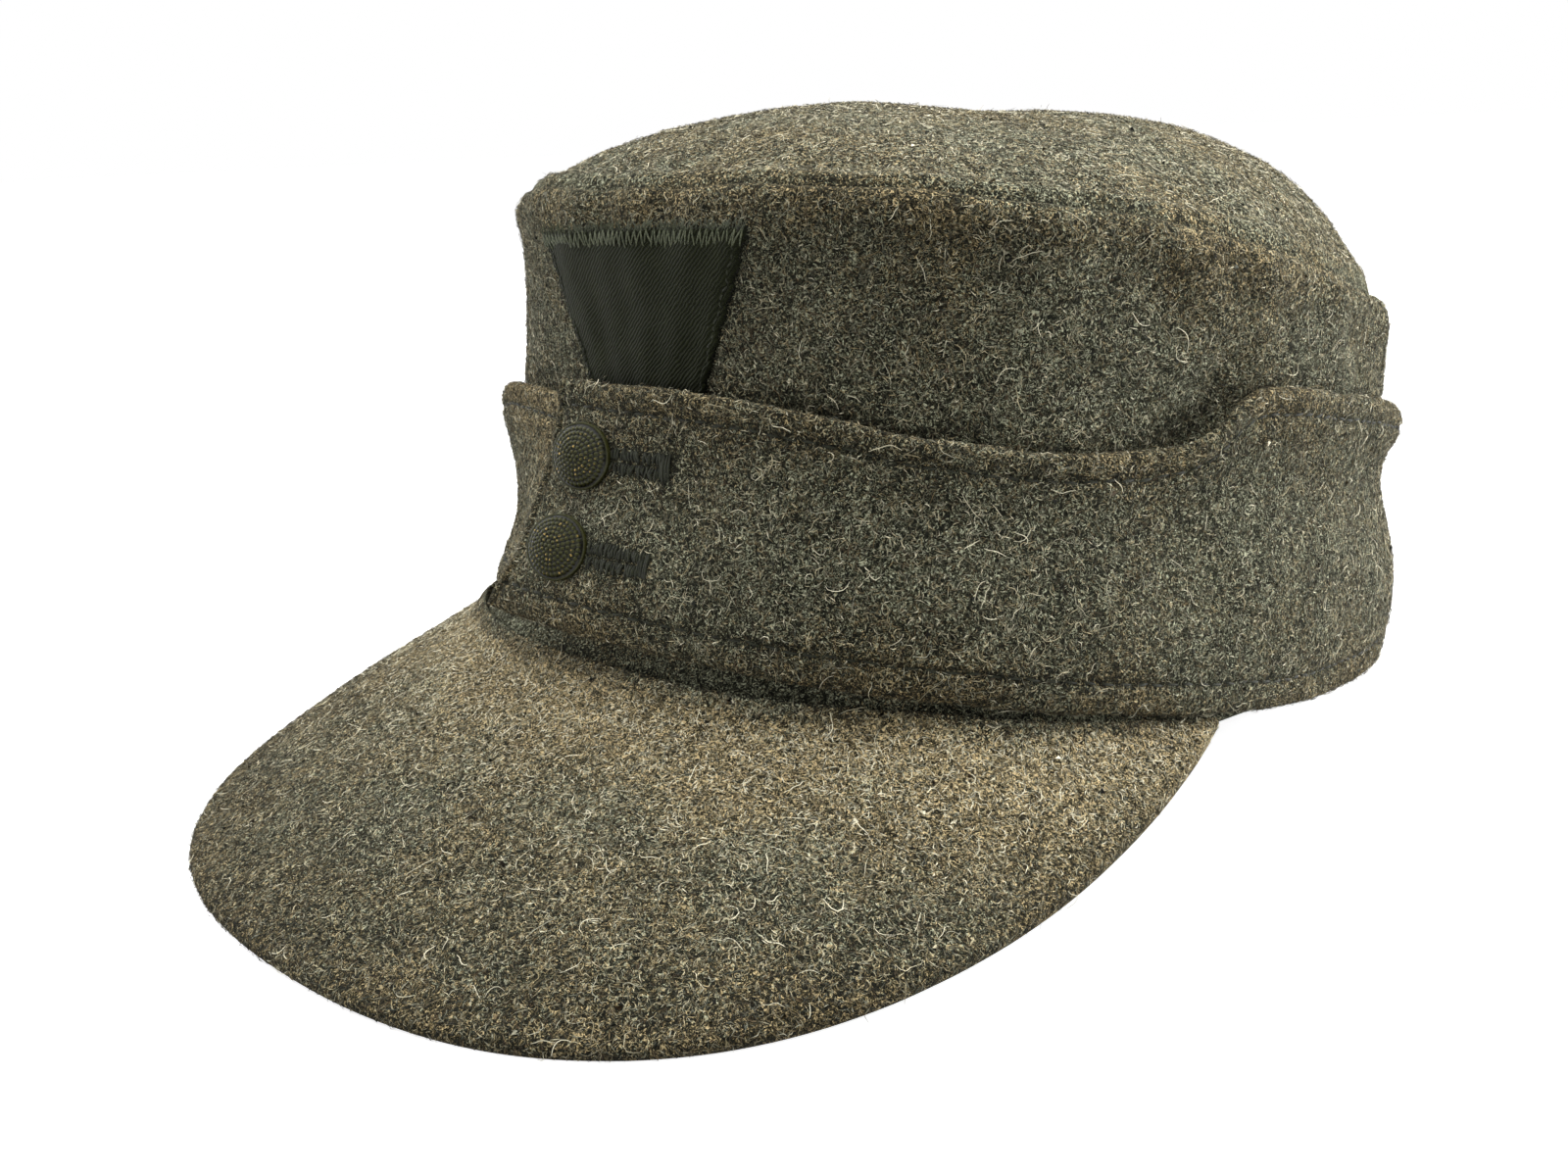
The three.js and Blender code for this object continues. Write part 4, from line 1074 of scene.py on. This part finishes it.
def lay_fibres(grid, count, kind, seed, pale, sewn):
    """Ribbons that lie on a grid's surface: their points, and the dye of each as a share of the ramp.
    pale is a grid of how much is added to that share, and sewn of how few lie there."""
    rng = np.random.default_rng(seed)
    a, b, c, d = (grid[:-1, :-1], grid[:-1, 1:], grid[1:, 1:], grid[1:, :-1])
    a, b, c, d = (corner.reshape(-1, 3) for corner in (a, b, c, d))
    outward = np.cross(c - a, d - b)
    area = np.linalg.norm(outward, axis=1)
    chance = area * (1 - sewn[:-1, :-1].ravel())
    cell = rng.choice(len(area), count, p=chance / chance.sum())
    s, t = rng.random((2, count, 1))
    a, b, c, d = a[cell], b[cell], c[cell], d[cell]
    middle = (a * (1 - s) + b * s) * (1 - t) + (d * (1 - s) + c * s) * t
    normal = outward[cell] / area[cell][:, None]
    first = b - a + c - d
    first = first / np.linalg.norm(first, axis=1)[:, None]
    second = np.cross(normal, first)
    length = rng.uniform(*kind["length"], (count, 1))
    stations = np.linspace(0, 1, kind["parts"] + 1)[None]
    bend = rng.normal(0, kind["bend"], (count, 1))
    curl = rng.normal(0, kind["bend"] * 0.35, (count, 1))
    along = (stations - 0.5) * length
    heading = rng.uniform(0, 2 * np.pi, (count, 1)) + bend * along + curl * along * np.abs(along) * 0.5
    crimp, phase = rng.uniform(1.2, 3.0, (count, 1)), rng.uniform(0, 6.3, (count, 1))
    heading = heading + rng.uniform(0.1, 0.8, (count, 1)) * np.sin(crimp * along + phase)
    step = length / kind["parts"]
    halfway = (heading[:, 1:] + heading[:, :-1]) / 2
    x = np.concatenate([np.zeros((count, 1)), np.cumsum(np.cos(halfway) * step, 1)], 1)
    y = np.concatenate([np.zeros((count, 1)), np.cumsum(np.sin(halfway) * step, 1)], 1)
    x, y = x - x.mean(1, keepdims=True), y - y.mean(1, keepdims=True)
    bow = np.minimum(rng.exponential(kind["bow"], (count, 1)), kind["highest"]) * np.sin(np.pi * stations)
    free_end = np.minimum(rng.exponential(kind["free_end"], (count, 1)), kind["highest"]) * stations**3
    rise = 0.03 + bow + free_end
    line = (middle[:, None] + first[:, None] * x[..., None] + second[:, None] * y[..., None]
            + normal[:, None] * rise[..., None])
    across = second[:, None] * np.cos(heading)[..., None] - first[:, None] * np.sin(heading)[..., None]
    roll = rng.uniform(-0.9, 0.9, (count, 1, 1))
    across = across * np.cos(roll) + normal[:, None] * np.sin(roll)
    taper = 0.35 + 0.65 * np.sin(np.pi * (0.12 + 0.8 * stations))
    width = kind["width"] * rng.uniform(0.6, 1.15, (count, 1)) * taper
    half = across * width[..., None] / 2
    dye = np.clip(rng.beta(1.1, 1.1, count) + pale[:-1, :-1].ravel()[cell], 0, 1)
    return np.stack([line - half, line + half], 2), dye


def clear_of(ribbons, name):
    """Which fibres stay: none lies under the patch, and few cross the buttonholes' thread."""
    x, y, z = ribbons.mean((1, 2)).T
    stays = np.ones(len(x), bool)
    if name == "turn_up":
        beside = (x > 1.5) & (x < BUTTONHOLE["end"] + 1.4) & (y < 0)
        for place in BUTTONS.values():
            over = beside & (np.abs(z - place["height"]) < BUTTONHOLE["reach"] + 0.5)
            stays &= ~over | (np.arange(len(x)) % 4 == 0)
    if name == "crown_wall":
        rise = (z - PATCH["bottom"]) / (PATCH["top"] - PATCH["bottom"])
        beside = np.abs(x - PATCH["middle"]) < patch_width(rise) / 2 + 0.3
        stays = ~(beside & (rise > -0.02) & (rise < 1.03) & (y < 0))
    return stays


def nap_piece(name, grid, seed, material, painted_shading=None, sewn=None):
    """Long fibres are ribbons. Short ones are bent slivers of four points, pointed at both ends. The
    map OFBake holds each fibre's dye across and the way along it up."""
    points, faces, tones, alongs, total = [], [], [], [], 0
    painted_shading = np.zeros(grid.shape[:2]) if painted_shading is None else painted_shading
    sewn = np.zeros(grid.shape[:2]) if sewn is None else sewn
    for order, (kind_name, kind) in enumerate(FIBRES.items()):
        pale = NAP[name]["pale"] + PAINTED_SHADING_PALER * painted_shading + kind["paler"]
        ribbons, dye = lay_fibres(grid, NAP[name][kind_name], kind, seed + order, pale, sewn)
        stays = clear_of(ribbons, name)
        ribbons, dye = ribbons[stays], dye[stays]
        count, stations = ribbons.shape[:2]
        if kind_name == "short":
            start, finish = ribbons[:, 0].mean(1), ribbons[:, 2].mean(1)
            fibre_points = np.stack([ribbons[:, 1, 0], finish, ribbons[:, 1, 1], start], 1)
            quads = total + np.arange(count * 4).reshape(count, 4)
            along = np.broadcast_to([0.5, 1, 0.5, 0], quads.shape)
        else:
            fibre_points = ribbons.reshape(count, -1, 3)
            index = total + np.arange(count * stations * 2).reshape(count, stations, 2)
            quads = np.stack([index[:, :-1, 0], index[:, 1:, 0], index[:, 1:, 1], index[:, :-1, 1]], -1)
            along = np.broadcast_to(np.linspace(0, 1, stations)[None, :, None], index.shape)
        faces.append(quads.reshape(-1, 4))
        points.append(fibre_points.reshape(-1, 3))
        tones.append(np.repeat(dye, fibre_points.shape[1]))
        alongs.append(along.ravel())
        total += fibre_points.shape[0] * fibre_points.shape[1]
    faces = np.concatenate(faces)
    piece = mesh_piece(name + "_nap", np.concatenate(points), faces, material)
    layer = piece.data.uv_layers.new(name="OFBake")
    corners = np.stack([np.concatenate(tones), np.concatenate(alongs)], -1)[faces.ravel()]
    layer.data.foreach_set("uv", (0.004 + 0.992 * corners).ravel())


fibre, tree, shader = new_material("wool_fibre")
dye_place = tree.nodes.new("ShaderNodeUVMap")
dye_place.uv_map = "OFBake"
split_uv = tree.nodes.new("ShaderNodeSeparateXYZ")
tree.links.new(dye_place.outputs[0], split_uv.inputs[0])
fibre_dyes = [(0.00, (0.003, 0.004, 0.002)), (0.24, (0.020, 0.022, 0.013)), (0.36, (0.066, 0.042, 0.021)),
              (0.46, (0.070, 0.080, 0.062)), (0.56, (0.172, 0.125, 0.060)), (0.66, (0.172, 0.178, 0.132)),
              (0.76, (0.322, 0.258, 0.132)), (0.86, (0.348, 0.345, 0.262)), (0.94, (0.580, 0.500, 0.298)),
              (1.00, (0.880, 0.830, 0.620))]
tree.links.new(colour_ramp(tree, split_uv.outputs["X"], fibre_dyes), shader.inputs["Base Color"])
shader.inputs["Roughness"].default_value = 0.8
shader.inputs["Specular IOR Level"].default_value = 0.25

# Each piece is covered where it shows, and not at its seams or where the flap lies under itself
shown_wall = wall_grid()[0][len(HIDDEN_ROWS) - 1:-2]
nap_piece("crown_wall", np.concatenate([shown_wall, shown_wall[:, :1]], 1), 61, fibre)
nap_piece("crown_top", top_grid()[0][3:-3, 3:-3], 63, fibre)
outside, _, _, sewn, _ = flap_grid()
lapped = 28
nap_piece("turn_up", outside[:, :-lapped], 65, fibre, None, sewn[:, :-lapped])
outside, _, _, painted_shading = peak_grid()
nap_piece("peak", outside[3:], 67, fibre, painted_shading[3:])

# Floor, light and camera: a plain pale floor with a glow of its own, so that it looks white, soft boxes
# above the cap, in front of it and at both sides, and the camera at the photograph's angle.

floor_mesh = bpy.data.meshes.new("floor")
reach = 40.0
floor_mesh.from_pydata([(-reach, -reach, 0), (reach, -reach, 0), (reach, reach, 0), (-reach, reach, 0)], [],
                       [(0, 1, 2, 3)])
floor = bpy.data.objects.new("floor", floor_mesh)
bpy.context.scene.collection.objects.link(floor)
floor_finish, _, floor_shader = new_material("pale_floor")
floor_shader.inputs["Base Color"].default_value = (0.80, 0.80, 0.80, 1.0)
floor_shader.inputs["Roughness"].default_value = 0.9
floor_shader.inputs["Emission Color"].default_value = (1.0, 1.0, 1.0, 1.0)
floor_shader.inputs["Emission Strength"].default_value = 0.77
floor_mesh.materials.append(floor_finish)
# The wool isn't to be brightened by the floor's glow
floor.visible_diffuse = False

world = bpy.data.worlds.new("studio")
bpy.context.scene.world = world
world.use_nodes = True
tree = world.node_tree
direction = tree.nodes.new("ShaderNodeTexCoord").outputs["Generated"]
split = tree.nodes.new("ShaderNodeSeparateXYZ")
tree.links.new(direction, split.inputs[0])
above = span(tree, split.outputs["Z"], -0.02, 0.0)
room = blend_colour(tree, above, (0.13, 0.125, 0.115), (0.30, 0.30, 0.30))
seen = tree.nodes.new("ShaderNodeLightPath").outputs["Is Camera Ray"]
backdrop = blend_colour(tree, seen, room, (1.0, 1.0, 1.0))
tree.links.new(backdrop, tree.nodes["Background"].inputs["Color"])

SOFT_BOXES = {
    "over": {"place": (-0.05, 0.22, 0.85), "size": 1.7, "watts": 23.5},
    "right": {"place": (1.10, 1.00, 0.30), "size": 0.8, "watts": 36.0},
    "front": {"place": (0.10, -1.40, 0.40), "size": 0.9, "watts": 5.0},
    "left": {"place": (-1.15, -0.35, 0.45), "size": 0.8, "watts": 8.5},
}
for name, box in SOFT_BOXES.items():
    lamp = bpy.data.lights.new("soft_box_" + name, "AREA")
    lamp.shape = "SQUARE"
    lamp.size = box["size"]
    lamp.energy = box["watts"]
    holder = bpy.data.objects.new(lamp.name, lamp)
    place = np.array(box["place"])
    holder.location = place
    aim = Vector((0, 0, 0.06)) - Vector(place)
    holder.rotation_euler = aim.to_track_quat("-Z", "Y").to_euler()
    bpy.context.scene.collection.objects.link(holder)

CAMERA_PLACE = Vector((0.194084, -0.223149, 0.117764))
CAMERA_AIM = Vector((-0.004119, -0.016102, 0.029181))
CAMERA_ROLL = -2.705
camera_data = bpy.data.cameras.new("photograph_angle")
camera_data.lens = 33.169
camera_data.sensor_width = 36.0
camera_data.clip_start, camera_data.clip_end = 0.01, 200.0
camera = bpy.data.objects.new("photograph_angle", camera_data)
bpy.context.scene.collection.objects.link(camera)
sight = (CAMERA_AIM - CAMERA_PLACE).to_track_quat("-Z", "Y")
camera.rotation_mode = "QUATERNION"
camera.rotation_quaternion = sight @ Quaternion((0, 0, 1), math.radians(CAMERA_ROLL))
camera.location = CAMERA_PLACE
bpy.context.scene.camera = camera
bpy.context.scene.view_settings.view_transform = "Standard"
